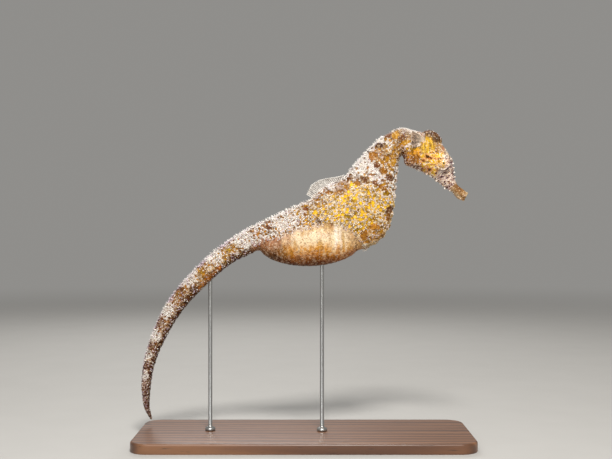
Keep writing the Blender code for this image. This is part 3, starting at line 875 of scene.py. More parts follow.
NECK = (
    (NET, 51.5, 155, 5, 1.6, WHITE),
    (NET, 57, 151.4, 3, 2.2, SHELL, -20, 0.9),
    (NET, 38, 150.8, 3.6, 1.9, WHITE, 34),
    (NET, 42.4, 147.2, 1.2, 3.6, WHITE, 14, 0.9),
    (NET, 31.4, 137.6, 6.6, 3.3, WHITE, -44),
    (NET, 27.6, 134.4, 3.6, 2.2, WHITE, 20),
    (NET, 37.4, 131.6, 2.4, 2.8, WHITE, -30, 0.9),
    (NET, 45.2, 130.6, 0.9, 4.6, WHITE, 6),
    (NET, 50.6, 147, 3.2, 0.6, WHITE, 40, 0.9),
    (NET, 54.6, 147.6, 3.4, 0.7, WHITE, -8, 0.8),
    (WASH, 45.6, 144.4, 2.8, 5.4, tone(172, 124, 36), -16, 0.85),
    (WASH, 48, 152, 5.4, 3.6, tone(136, 100, 48), 8, 0.9),
    (WASH, 38.2, 144.4, 2.8, 3.6, tone(160, 112, 50), -16, 0.7),
    (SPOT, 45.2, 152.2, 2, 1.8, AMBER, 20),
    (SPOT, 50.4, 148.9, 2.2, 1.4, AMBER, 20),
    (SPOT, 48.6, 151.2, 1.3, 1.1, BROWN, 10),
    (SPOT, 41.4, 153, 1.9, 1.5, BROWN, 40),
    (SPOT, 37.8, 147.4, 1.9, 1.2, UMBER, 10),
    (SPOT, 33.8, 142, 1.7, 2.4, OCHRE, -20),
    (SPOT, 35.6, 137.4, 1.6, 1.4, BROWN, -30),
    (SPOT, 39.2, 134.8, 2.2, 2, OCHRE, -30),
    (SPOT, 42.4, 131.3, 1.9, 1.5, BROWN),
    (SPOT, 44.4, 139, 1.1, 2, AMBER, -16),
    (SPOT, 41.2, 140.6, 1.2, 1.8, AMBER, -16),
)
TRUNK = (
    (WASH, 27.6, 130, 4.2, 1.9, BROWN, -14, 0.6),
    (SPOT, 29.8, 130.6, 2.1, 1.3, EARTH, -20),
    (SPOT, 26.2, 128.6, 1.7, 1.1, OCHRE, -20),
    (SPOT, 22.2, 131, 1.4, 1, BROWN),
    (SPOT, 35, 128.6, 1.2, 1.1, RUST),
    (SPOT, 38.6, 126.6, 2.6, 0.8, OCHRE, -38),
    (SPOT, 42, 115.2, 2.4, 1.8, BROWN, 40),
    (SPOT, 41.8, 112, 1.4, 1.6, OCHRE, 20),
    (SPOT, 34.8, 107.2, 2.6, 1.4, tone(184, 120, 26), 10),
    (WASH, 33.4, 102.8, 6, 4, tone(206, 146, 44), 20, 0.7),
    (SPOT, 29.8, 102.8, 2, 2.4, tone(170, 114, 36)),
    (SPOT, 37.6, 104.2, 1.6, 1.2, AMBER),
    (NET, 15, 126.6, 3.2, 1.6, WHITE, 10, 0.9),
    (SPOT, 12, 124, 1.2, 1, OCHRE),
    (WASH, 18.6, 126.2, 4.6, 2.6, OCHRE, 40, 0.8),
    (WASH, 5, 118.4, 7, 3.8, tone(150, 112, 56), 20, 0.35),
    (WASH, 25.2, 121.4, 2, 0.7, YELLOW, -34, 0.8),
    (SPOT, 0.9, 116, 1.1, 1, RUST),
    (WASH, 7, 109.4, 1.2, 2.2, BROWN, 0, 0.8),
    (SPOT, 0.6, 113.2, 1.1, 0.9, OCHRE),
    (SPOT, 5.4, 114, 1.3, 1.1, GOLD),
    (SPOT, -5, 110.2, 0.9, 0.8, BROWN),
    (SPOT, -17.4, 106.4, 1.7, 1, BROWN),
    (SPOT, -22.8, 103.6, 1, 0.7, tone(176, 118, 34)),
    (SPOT, -29, 100.6, 0.9, 0.7, tone(184, 134, 30)),
    (SPOT, -26.2, 102, 1.2, 0.8, BROWN),
    (BARE, 33.4, 97.6, 6.6, 1.5, tone(196, 168, 122), 24, 0.95),
)
TAIL = (
    (NET, -8, 109.6, 7, 3.6, WHITE, 18, 0.8),
    (NET, -29.8, 100.8, 4.6, 4.2, WHITE, 30),
    (NET, -44.4, 92.6, 5.2, 3.8, WHITE, 42, 0.95),
    (NET, -56.4, 81, 4.8, 3.4, WHITE, 50, 0.85),
    (NET, -68.2, 65.6, 4.4, 3, WHITE, 58),
    (NET, -75.4, 52, 3.8, 3.2, WHITE, 70),
    (NET, -78, 42.4, 2.8, 2.6, WHITE, 80),
    (NET, -79.8, 31.6, 2.4, 2.4, WHITE, 90),
    (WASH, -37, 95.6, 3.2, 2, AMBER, 30, 0.45),
    (WASH, -51, 85.2, 3, 2.2, AMBER, 45, 0.5),
    (WASH, -63.6, 72.6, 2.2, 1.6, AMBER, 55, 0.6),
    (WASH, -47.4, 81.4, 7.6, 1.2, tone(172, 106, 26), 47, 0.75),
    (WASH, -55.2, 76.4, 2, 1.4, UMBER, 20, 0.7),
    (SPOT, -37.6, 95.6, 1.3, 0.7, tone(184, 148, 44), 20),
    (SPOT, -51.2, 84.8, 1.2, 0.7, tone(176, 140, 44), 40),
    (SPOT, -42, 86.8, 1.1, 0.6, tone(190, 114, 22), 45),
    (SPOT, -52, 77.2, 1.3, 0.6, tone(176, 116, 30), 47),
    (SPOT, -48.8, 82.8, 0.9, 0.6, OCHRE, 45),
    (SPOT, -63.4, 73, 0.9, 0.6, tone(168, 132, 46), 50),
    (WASH, -61.8, 73.8, 3, 2.8, BROWN, 50, 0.5),
    (WASH, -72.2, 59.8, 2.8, 2.6, BROWN, 60, 0.6),
    (WASH, -77, 47.6, 2.2, 2, BROWN, 70, 0.5),
    (WASH, -79.4, 37, 2.2, 2, PLUM, 80, 0.4),
)


@dataclass
class Paint:
    """The markings at points of the skin, one row or number for each.

    The colours of the net, the spots and the ground between granules, how far inside a spot's
    edge the point is, the share that granules cover, the tufts' length, and how much of the
    pouch, of a white saddle, of smooth skin and of each streak it shows.
    """

    net: Array
    spot: Array
    ground: Array
    field: Array
    cover: Array
    tuft: Array
    pouch: Array
    saddle: Array
    smooth: Array
    streaks: Array


@dataclass
class Pouch:
    """The brood pouch under the tail's root, and its colours, whose dark keel is partly painted
    shadow.
    """

    centre: Point = (3.0, 0.0, 99.6)
    half_size: Point = (26.5, 9.6, 12.4)
    tilt: float = radians(-2.0)
    # The darkest bands at the keel are partly the pouch's own dark brown and partly painted shadow
    # under it.
    bands: tuple[tuple[float, Colour], ...] = (
        (-1.00, tone(60, 26, 8)), (-0.80, tone(118, 60, 14)), (-0.56, tone(180, 108, 30)),
        (-0.30, tone(216, 152, 62)), (0.0, tone(234, 212, 174)), (0.3, tone(234, 214, 184)),
        (0.55, tone(208, 170, 112)), (1.00, tone(190, 150, 84)),
    )
    brim: tuple[Pair, ...] = (
        (-24.0, 98.6), (-19.5, 100.2), (-12.0, 102.2), (-2.0, 104.0), (7.0, 107.2), (15.0, 109.2),
        (19.5, 108.4), (24.5, 104.6), (28.0, 100.6), (31.0, 94.0))

    def local(self, points: Array) -> Array:
        """Points as shares of the pouch's half size, along, across and up."""
        turn = np.array(Matrix.Rotation(self.tilt, 3, "Y"))
        return ((points - self.centre) @ turn) / self.half_size

    def share(self, points: Array) -> Array:
        """1 on the pouch's own bare skin, 0 where the body's net takes over."""
        top = np.interp(points[:, 0], *np.array(self.brim).T) + 0.8 * cloud(points, 2.2, 30)
        top += 1.6 * cloud(points / [1.0, 2.0, 6.0], 1.0, 44)
        under = rise(1.6, -1.6, points[:, 2] - top - 0.7 * cloud(points, 0.8, 29))
        return under * rise(1.24, 1.12, lengths(self.local(points)))

    def colours(self, points: Array) -> Array:
        """The pouch's colours: bands from pale flanks to a dark keel that is partly painted shadow,
        streaked up and down.
        """
        at = self.local(points)
        level = at[:, 2] + 0.12 * cloud(points, 3.0, 31) + 0.09 * cloud(points, 1.2, 32)
        base = read_off(level, *zip(*self.bands))
        upright = points / [1.0, 1.6, 5.0]
        bars = cloud(upright, 1.1, 33) + 0.4 * cloud(points, 0.9, 38)
        base = mixed(base, IVORY, 0.7 * hump(level, -0.12, 0.40) * rise(0.0, 0.6, bars))
        base = mixed(base, AMBER, 0.65 * hump(level, -0.05, 0.45) * rise(0.0, 0.6, -bars))
        upper = rise(0.15, 0.55, level)
        warm = between(AMBER, ROSE, rise(-0.3, 0.3, cloud(points, 2.0, 42)))
        base = mixed(base, warm,
                     0.55 * upper * rise(0.0, 0.45, -bars - 0.3 * cloud(points, 1.0, 43)))
        base = mixed(base, IVORY, 0.7 * upper * rise(0.1, 0.5, bars))
        front = rise(0.62, 0.82, at[:, 0] + 0.05 * cloud(points, 1.6, 39))
        base = mixed(base, between(SAND, ROSE, rise(-0.1, -0.5, level)), 0.7 * front)
        rear = rise(-0.20, -0.70, at[:, 0] + 0.12 * cloud(points, 2.2, 34))
        base = mixed(base, between(CLAY, UMBER, rise(0.2, -0.6, level)), 0.85 * rear)
        streaks = np.maximum(hump(at[:, 0] + 0.02 * cloud(points, 1.4, 35), 0.49, 0.030),
                             0.8 * hump(at[:, 0] + 0.02 * cloud(points, 1.0, 40), 0.57, 0.022))
        base = mixed(base, WHITE, 0.65 * streaks * rise(-0.45, -0.1, level))
        dim = np.maximum(rear, rise(0.0, -0.5, level))
        speckle = rise(0.15, 0.5, cloud(points, 0.7, 36))
        base = mixed(base, BROWN, speckle * (0.12 + 0.45 * np.maximum(front * 0.6, dim)))
        dots = hump(at[:, 0] + 0.04 * cloud(points, 1.6, 45), 0.86, 0.06)
        base = mixed(base, UMBER, 0.8 * dots * rise(0.0, 0.4, cloud(points, 0.6, 46)))
        pale = rise(0.25, 0.55, cloud(points, 0.8, 37))
        return mixed(base, SHELL, pale * (0.12 + 0.4 * np.maximum(0.5 * dim, rear)))


@dataclass
class Markings:
    """The net, the spots, the patches and the tufts' lengths all over the skin."""

    body: Body
    pouch: Pouch
    seed: int = 11
    gap_share: Pair = (0.20, 1.66)
    spot_sizes: Pair = (0.55, 1.22)
    least_spot: float = 0.15
    spot_margin: float = 0.7
    ragged: tuple[Pair, ...] = ((0.5, 2.4), (0.30, 1.1), (0.16, 0.55))

    def paint(self, points: Array, place: Array, angle: Array) -> Paint:
        """The markings.

        Args:
            points: the straight skin's corners.
            place: how far along the body each is.
            angle: how far round it each is.

        Returns:
            The markings at the corners.
        """
        table = read_off(place, [self.body.place_of[zone.station] for zone in ZONES],
                         [zone.row() for zone in ZONES])
        on_tail = self.body.run("pouch_rear", "tail_fifth", place)
        turn = np.degrees(np.abs(angle)) + 12 * cloud(points, 2.2, 3) + 7 * cloud(points, 0.8, 10)
        # The belly reaches higher on the tail, where its dark colours are partly painted shade on
        # the underside.
        belly, back = rise(108, 146, turn + 14 * on_tail), 1 - rise(26, 68, turn)
        share = abreast(back, 1 - back - belly, belly)
        net, spot = (np.einsum("ns,nsc->nc", share, table[:, k:k + 9].reshape(-1, 3, 3))
                     for k in (0, 9))
        radius, cover, tuft = table[:, 18], table[:, 19], (share * table[:, 20:]).sum(axis=1)
        pouch = self.pouch.share(points)
        field, spot = self.spots(points, radius, spot)
        made = Paint(net, spot, net, field, cover * (1 - pouch), tuft * (1 - pouch), pouch,
                     0 * pouch, 0 * pouch, self.streaks(points, place))
        self.lay_patches(made, points, belly, on_tail)
        self.shade(made, points, place, on_tail)
        made.tuft *= 1 - np.clip(made.smooth, 0, 1)
        made.cover *= 1 - 0.9 * made.streaks.max(axis=1)
        return made

    def lay_patches(self, made: Paint, points: Array, belly: Array, on_tail: Array) -> None:
        """Lays the patches over the net and the spots, one after another.

        Args:
            made: the markings so far, which change.
            points: the skin's corners.
            belly: 1 on the belly, where patches of the net don't reach.
            on_tail: 1 on the tail, where they are fainter.
        """
        chart = self.body.side_chart(points)
        for size, scale in self.ragged:
            chart += size * abreast(cloud(points, scale, 1), cloud(points, scale, 2))
        frayed = 0.5 * cloud(points, 1.9, 50) + 0.4 * cloud(points, 0.8, 51)
        for patch in (Patch(*row) for row in HEAD + NECK + TRUNK + TAIL):
            reach = patch.reach(chart) + frayed * (patch.layer is NET)
            on_net = on_spot = inside = rise(1.25, 0.8, reach) * patch.share
            if patch.layer is SPOT:
                depth = np.minimum((1 - reach) * min(patch.half_length, patch.half_height), 0.5)
                on_net, on_spot = 0.0, rise(-0.3, 0.0, depth)
                made.field = np.maximum(made.field, depth)
            elif patch.layer is NET:
                on_net, on_spot = inside * (1 - belly), 0.0
                made.field -= (0.45 - 0.12 * on_tail) * on_net
                made.saddle = np.maximum(made.saddle, on_net * (1 - 0.5 * on_tail))
            elif patch.layer is BARE:
                made.field -= inside
                made.cover *= 1 - inside
                made.smooth += inside
            else:
                on_net = 0.8 * inside
            made.net = mixed(made.net, patch.colour, on_net)
            made.spot = mixed(made.spot, patch.colour, on_spot)

    def shade(self, made: Paint, points: Array, place: Array, on_tail: Array) -> None:
        """Varies the colours, works out the ground between the granules with its painted shade, and
        adds the pouch's.

        Args:
            made: the markings so far, which change.
            points: the skin's corners.
            place: how far along the body each is.
            on_tail: 1 on the tail.
        """
        net, spot = made.net, made.spot
        murk = rise(0.1, 0.5, cloud(points, 0.9, 13)) * rise(0.55, 0.3, spot[:, 1])
        spot = mixed(spot, BROWN, 0.55 * murk)
        spot = mixed(spot, PLUM, 0.4 * rise(0.0, 0.5, cloud(points, 1.8, 52)) * on_tail)
        crown = (points - CROWN_CENTRE) / CROWN_HALF_SIZE
        bearing = np.arctan2(crown[:, 1], crown[:, 0] + 0.3)
        stripes = 0.5 + 0.5 * np.cos(17 * bearing + 1.2 * cloud(points, 1.0, 17))
        stripes *= 0.8 * rise(1.35, 1.1, lengths(crown))
        net, spot = mixed(net, UMBER, 0.7 * stripes), mixed(spot, UMBER, stripes)
        # The ground between granules: partly the skin's own darker brown, partly painted shade
        # where the granules shade it; net * 0.86 darkens it too.
        deep = between(BROWN, UMBER, 0.65 + 0.5 * cloud(points, 1.4, 14))
        dark_gap_and_shade = np.clip(0.42 + 0.65 * cloud(points, 0.8, 15), 0, 1) * (1 - 0.12 * made.saddle)
        ground = mixed(net * 0.86, deep, dark_gap_and_shade * (1 - np.clip(made.smooth, 0, 1)))
        net *= (1 + 0.10 * cloud(points, 1.0, 6) + 0.06 * cloud(points, 0.45, 7))[:, None]
        spot *= (1 + 0.14 * cloud(points, 0.8, 8))[:, None]
        near_head = self.body.run("arch", "gill_cover", place)
        snout = self.body.run("snout_base", "lip", place)
        ground = mixed(ground, net, np.maximum(snout, 0.5 * near_head))
        own = self.pouch.colours(points)
        made.net, made.spot, made.ground = (np.clip(mixed(colour, own, made.pouch), 0, 1)
                                            for colour in (net, spot, ground))
        made.field -= made.pouch

    def spots(self, points: Array, radius: Array, colour: Array) -> tuple[Array, Array]:
        """Small bare spots strewn through the net.

        Args:
            points: the skin's corners.
            radius: the spots' radius round there.
            colour: their colour round there.

        Returns:
            How far inside a spot's edge each corner is, and the spots' colours.
        """
        rng = np.random.default_rng(self.seed)
        least, share = self.gap_share
        picked = scattered(points, least + share * radius, rng)
        field = np.full(len(points), -1.0)
        tree = tree_of(points)
        whole = colour.copy()
        for index, dark in zip(picked, rng.random(len(picked))):
            own = radius[index] * rng.uniform(*self.spot_sizes)
            if own < self.least_spot:
                continue
            lit = colour[index] * (1.15 if dark > 0.40 else 0.45 + 1.1 * dark)
            for _, other, distance in tree.find_range(points[index], own + self.spot_margin):
                if own - distance > field[other]:
                    field[other] = own - distance
                    whole[other] = lit
        return field + 0.24 * cloud(points, 0.9, 9) + 0.12 * cloud(points, 0.45, 16), whole

    def streaks(self, points: Array, place: Array) -> Array:
        """How strongly three streaks show: rays from the eye, bars on the snout, the cheek's."""
        ahead, up = (points[:, 0] - EYE_CENTRE[0]), (points[:, 2] - EYE_CENTRE[2])
        reach = 9.5 + 1.5 * cloud(points, 2.0, 12) - 0.6 * np.clip(ahead, -4, 4)
        rays = rise(0.0, 2.5, reach - np.hypot(ahead, up)) * rise(1.0, 2.4, np.abs(points[:, 1]))
        rays *= rise(8.0, 4.0, up)
        down = ahead * SNOUT_AHEAD - up * SNOUT_DOWN
        bars = rise(1.8, 3.6, down) * rise(12.6, 10.4, down + 0.6 * cloud(points, 1.2, 18))
        bars *= self.body.run("crown", "eye", place)
        ridge = along_path(points[:, [0, 2]], 0.75, (72.2, 140.6), (73.6, 135.0), (74.4, 131.6))
        rays, bars = rays * (1 - 0.85 * ridge), bars * (1 - 0.7 * ridge)
        cheek = np.hypot((points[:, 0] - 61.8) / 3.6, (points[:, 2] - 146.0) / 4.9)
        cheek = rise(1.15, 0.85, cheek + 0.12 * cloud(points, 1.4, 19))
        return abreast(rays, bars, cheek)


# ---- the skin
FLESH = ("snout", "head", "neck", "trunk_front", "trunk_rear", "tail_base", "tail_upper",
         "tail_middle", "tail_lower", "tail_tip", "coronet", "brood_pouch")


@dataclass(frozen=True)
class BareSkin:
    """Moist, faintly translucent skin: the net over bare spots, speckled and grained.

    Grain, mottle and speckle are counts to the millimetre, and depth is the grain's in metres.
    """

    gloss: float = 0.12
    grain: float = 1.9
    mottle: float = 0.7
    speckle: float = 1.55
    depth: float = 0.00014

    def streaked(self, bench: Bench, base: Wire) -> Wire:
        """The face's streaks over its colour: rays round the eye, bars, and the cheek's."""
        from_eye = bench.stored("from_eye", "Vector")
        rays, bars, cheek = bench.parts(bench.stored("streaks", "Vector"))
        ahead, side, up = bench.parts(from_eye)

        def streak(across: Wire, along: Wire, *stops: tuple[float, Colour]) -> Wire:
            """Stripes that cross the first number and run along the second."""
            chart = bench.add("CombineXYZ", {}, {"X": across, "Y": along, "Z": side})
            return bench.ramp(bench.noise(chart, 1.0, 2.0, 0.6), *stops)

        turn = bench.add("Math", {"operation": "ARCTAN2"}, {0: up, 1: ahead * -1.0})
        away = bench.length(from_eye)
        fore = streak(turn * 2.6, away * 0.20, (0.40, PLUM), (0.45, MAUVE), (0.48, SHELL),
                      (0.53, WHITE), (0.58, WHITE), (0.62, PLUM))
        rear = streak(turn * 2.6, away * 0.20, (0.37, UMBER), (0.41, ORANGE), (0.45, PEACH),
                      (0.49, tone(210, 160, 40)), (0.54, YELLOW), (0.58, WHITE), (0.63, ORANGE),
                      (0.68, UMBER))
        base = bench.blend(cheek * 0.85, base, streak(ahead * 0.9, up * 0.14, (0.32, OCHRE),
                           (0.42, tone(138, 108, 34)), (0.50, tone(188, 148, 34)),
                           (0.57, tone(228, 188, 54)), (0.66, tone(198, 134, 52))))
        base = bench.blend(rays * 0.9, base, bench.blend((ahead + up * -0.35).step(0.2, -2.2),
                                                         fore, rear))
        down = ahead * SNOUT_AHEAD - up * SNOUT_DOWN
        across = ahead * SNOUT_DOWN + up * SNOUT_AHEAD
        return bench.blend(bars * 0.85, base, streak(
            down * 0.7, across * 0.26, (0.40, PLUM), (0.46, MAUVE), (0.49, SHELL), (0.54, WHITE),
            (0.58, ROSE), (0.62, PLUM)))

    def made(self) -> Finish:
        """The material."""
        bench = Bench("gold_skin", Roughness=0.5, Subsurface_Weight=0.05,
                      Subsurface_Radius=(1.0, 0.45, 0.25), Subsurface_Scale=0.0008,
                      Specular_IOR_Level=self.gloss)
        at = bench.stored("straight", "Vector")
        fine = bench.noise(at, self.grain, 2.0)
        coarse = bench.noise(at, self.mottle)
        edge = bench.stored("spot") + (fine - 0.5) * 0.4
        # A darker rim inside each spot's edge: partly the spot's own brown ring, partly painted
        # shade where the granules border it.
        rim = bench.ramp(edge, (0.02, (0.55, 0.36, 0.26)), (0.30, PLAIN))
        spot = bench.shade(0.85, bench.stored("bare", "Color"), rim)
        # The net just outside each spot is darkened the same way: partly its own ring, partly
        # painted shade.
        rim = bench.ramp(edge + 0.3, (0.06, PLAIN), (0.28, (0.55, 0.40, 0.34)))
        net = bench.shade(0.7, bench.stored("net", "Color"), rim)
        base = bench.blend(edge.step(-0.06, 0.06), net, spot)
        base = self.streaked(bench, base)
        cell = bench.chance(at, self.speckle)
        bare = 1.0 - bench.stored("pouch")
        base = bench.shade(cell.step(0.30, 0.10) * (0.50 - bare * 0.10), base,
                           (0.45, 0.32, 0.24))
        base = bench.blend(cell.step(0.84, 0.92) * (0.25 + bare * 0.10), base, IVORY)
        grain = bench.ramp(fine, (0.28, (0.60, 0.52, 0.46)), (0.60, PLAIN))
        warm = bench.ramp(coarse, (0.32, (0.84, 0.77, 0.66)), (0.62, PLAIN))
        bench.feed(Base_Color=bench.shade(0.6, bench.shade(0.7, base, grain), warm),
                   Roughness=0.40 + fine * 0.25)
        bench.bump(fine * 0.5 + coarse * 0.3 + cell * 0.3, self.depth, 0.7)
        return bench.material


@dataclass
class Skin:
    """One skin over head, neck, trunk, pouch and tail."""

    body: Body
    pouch: Pouch
    depth: float = 0.35
    depth_share: float = 0.06
    voxel: float = 0.395
    fillet_rounds: int = 90
    lid_centre_y: float = 5.55
    lid_radius: float = 3.0
    lid_thickness: float = 0.55
    mesh: Mesh = later()
    triangles: Array = later()
    points: Array = later()
    normals: Array = later()
    place: Array = later()
    angle: Array = later()

    def inset(self, place: Array) -> Array:
        """How far the skin lies inside the coat's tips at places."""
        return -np.minimum(self.depth, self.depth_share * self.body.section(place).width)

    def loft(self, along: Array, round_share: Array) -> Array:
        """The body's points at shares of its length and round it."""
        place = along * self.body.end
        return self.body.surface(place, (round_share - 0.5) * 2 * pi, self.inset(place))

    def lid(self, side: float) -> Shape:
        """The fleshy ring round one eye, as a grid's shape."""
        def shape(turn: Array, tube: Array) -> Array:
            """Points at shares round the eye and round the ring's own flesh."""
            a, b = turn * 2 * pi, tube * 2 * pi
            out = self.lid_radius + self.lid_thickness * np.cos(b)
            return abreast(EYE_CENTRE[0] + out * np.cos(a),
                           side * (self.lid_centre_y + self.lid_thickness * 0.9 * np.sin(b)),
                           EYE_CENTRE[2] + out * np.sin(a))
        return shape

    def form(self) -> Mesh:
        """The lofted body, pouch, coronet and lids grown into one surface."""
        half = [size - self.depth for size in self.pouch.half_size]
        parts = [
            rolled("loft", 400, 96, self.loft),
            ball("pouch", self.pouch.centre, half, self.pouch.tilt, 160, 80),
            ball("crown", CROWN_CENTRE, [h - 0.2 for h in CROWN_HALF_SIZE], CROWN_TILT, 60, 30,
                 lobes=5, depth=0.14),
            rolled("lid_left", 48, 16, self.lid(1.0), caps=False),
            rolled("lid_right", 48, 16, self.lid(-1.0), caps=False),
        ]
        whole = evaluated(joined("seahorse_form", parts), "REMESH", mode="VOXEL",
                          voxel_size=self.voxel)
        return evaluated(whole, "SMOOTH", factor=0.5, iterations=3)

    def fillet(self, points: Array, reach: Array) -> Array:
        """The points with the crease between pouch and body rounded off."""
        one, two = read(self.mesh.edges, "vertices", 2, np.int32).T
        outside = (lengths(self.pouch.local(points)) - 1) * 11
        beyond = (reach - 1) * 8
        soft = (hump(outside, 0.3, 1.8) * hump(beyond, 0.3, 1.8))[:, None]
        soft *= rise(24, 8, np.abs(points[:, 0] - 4))[:, None] * 0.5 + 0.5
        soft[soft < 0.01] = 0
        near = (soft[one, 0] > 0) | (soft[two, 0] > 0)
        here, there = np.append(one[near], two[near]), np.append(two[near], one[near])
        count = np.maximum(np.bincount(here, minlength=len(points)), 1)
        for _ in range(self.fillet_rounds):
            total = abreast(*(np.bincount(here, values[there], len(points)) for values in points.T))
            points = points + soft * (total / count[:, None] - points)
        return points

    def relief(self, points: Array, place: Array, angle: Array, paint: Paint) -> Array:
        """The skin's own detail: bony rings and ridges, pits, and the head's and pouch's.

        Args:
            points: the straight skin's corners.
            place: how far along the body each is.
            angle: how far round it each is.
            paint: the markings there.

        Returns:
            How far each corner is lifted.
        """
        body = self.body
        crests = body.ring_crests()
        nearest = np.abs(place[:, None] - crests[None, :]).argmin(axis=1)
        pitch = np.gradient(crests)[nearest]
        ring = rise(0.0, 1.0, 1 - 2 * np.abs(place - crests[nearest]) / pitch)
        turn = np.degrees(np.abs(angle))
        on_tail = body.run("fin_rear", "pouch_middle", place)
        trunk_ridge = np.max([hump(turn, a, 7) for a in (38, 88, 138, 180)], axis=0)
        tail_ridge = np.max([hump(turn, a, 9) for a in (45, 135)], axis=0)
        ridge = trunk_ridge * (1 - on_tail) + tail_ridge * on_tail
        size = np.clip(body.section(place).width / 6, 0.25, 1.0)
        behind = body.run("nape", "neck", place) * (1 - paint.pouch)
        height = behind * size * (0.20 * ring + 0.18 * ridge + 0.42 * ring * ring * ridge)
        height += 0.05 * cloud(points, 0.8, 21) + 0.03 * cloud(points, 0.4, 22)
        height -= 0.10 * rise(-0.15, 0.35, paint.field)
        return height + self.head_relief(points, place, turn) + self.pouch_relief(points, paint)

    def head_relief(self, points: Array, place: Array, turn: Array) -> Array:
        """The gill cover, brow, nostrils, jaw and lips."""
        def polar(x: float, z: float) -> tuple[Array, Array]:
            """How far each corner is from a place on the flank, and its bearing from there."""
            ahead, up = points[:, 0] - x, points[:, 2] - z
            return np.hypot(ahead, up), np.arctan2(up, ahead)

        chart, at = points[:, [0, 2]], self.body.place_of
        side = rise(1.2, 3.0, np.abs(points[:, 1]))
        away, bearing = polar(62.6, 145.4)
        bearing = np.degrees(bearing) % 360
        gill = side * rise(95, 125, bearing) * rise(285, 255, bearing)
        gill *= rise(at["arch"], at["nape"] - 2, place)
        height = gill * (0.20 * hump(away, 6.0, 0.6) - 0.42 * hump(away, 6.9, 0.45))
        spread, fan = polar(66.0, 142.0)
        height += 0.07 * side * rise(6.6, 5.6, away) * np.cos(24 * fan) * rise(1.5, 3.5, spread)
        height -= 0.35 * side * along_path(chart, 0.35, (65.4, 145.6), (67.8, 143.0))
        eye, spoke = polar(EYE_CENTRE[0], EYE_CENTRE[2])
        height += 0.07 * side * np.cos(24 * spoke) * hump(eye, 4.4, 1.4)
        nostril = lengths(to_left(points) - (74.4, 1.9, 136.6))
        height += 0.16 * hump(nostril, 0.62, 0.28) - 0.5 * hump(nostril, 0, 0.34)
        height -= 0.34 * along_path(chart, 0.3, (76.6, 122.3), (79.6, 121.3), (82.0, 120.8))
        height += 0.15 * hump(place, 0.7, 0.5) - 0.5 * rise(0.3, 0.0, place)
        muzzle = rise(at["snout_base"] + 2, at["lip"], place)
        height += 0.05 * muzzle * cloud(points, 1.0, 23)
        height += 0.22 * hump(turn, 0, 14) * hump(place, at["brow"], 5.0)
        crown = lengths((points - CROWN_CENTRE) / CROWN_HALF_SIZE)
        return height + 0.18 * rise(1.25, 1.0, crown) * cloud(points, 1.1, 24)

    def pouch_relief(self, points: Array, paint: Paint) -> Array:
        """Shallow upright folds, the pore at the pouch's front, and fine pitting."""
        at = self.pouch.local(points)
        folds = cloud(points / [1.0, 2.0, 5.0], 1.1, 25)
        height = 0.10 * folds + 0.03 * cloud(points, 0.5, 26)
        pore = lengths((points - (26.6, 0.0, 104.2)) / (1.4, 0.7, 1.4))
        height -= 0.6 * hump(pore, 0, 1.0)
        height += 0.10 * hump(np.abs(at[:, 1]), 0.0, 0.06) * rise(-0.2, -0.6, at[:, 2])
        return height * paint.pouch

    def build(self) -> Paint:
        """Shapes the straight skin, paints it and poses it; keeps what the coat grows from."""
        self.mesh = self.form()
        points = points_of(self.mesh)
        self.place, self.angle, reach = self.body.locate(points)
        points = self.fillet(points, reach)
        put_points(self.mesh, points)
        paint = Markings(self.body, self.pouch).paint(points, self.place, self.angle)
        lift = self.relief(points, self.place, self.angle, paint)
        points = points + normals_of(self.mesh) * lift[:, None]
        put_points(self.mesh, points)
        self.points, self.normals = points, normals_of(self.mesh)
        put_colours(self.mesh, "net", paint.ground)
        put_colours(self.mesh, "bare", paint.spot)
        for name, values in (("spot", paint.field), ("pouch", paint.pouch),
                             ("streaks", paint.streaks), ("straight", points),
                             ("from_eye", (points - EYE_CENTRE) * [1, 0, 1])):
            put_attribute(self.mesh, name, values)
        self.mesh.calc_loop_triangles()
        self.triangles = read(self.mesh.loop_triangles, "vertices", 3, np.int32)
        self.body.settle(self.mesh, points)
        return paint

    def show(self) -> None:
        """Puts the skin in the scene."""
        piece = as_object("seahorse_skin", self.mesh, BareSkin().made())
        fit_in(piece, "gold_skin", *FLESH)


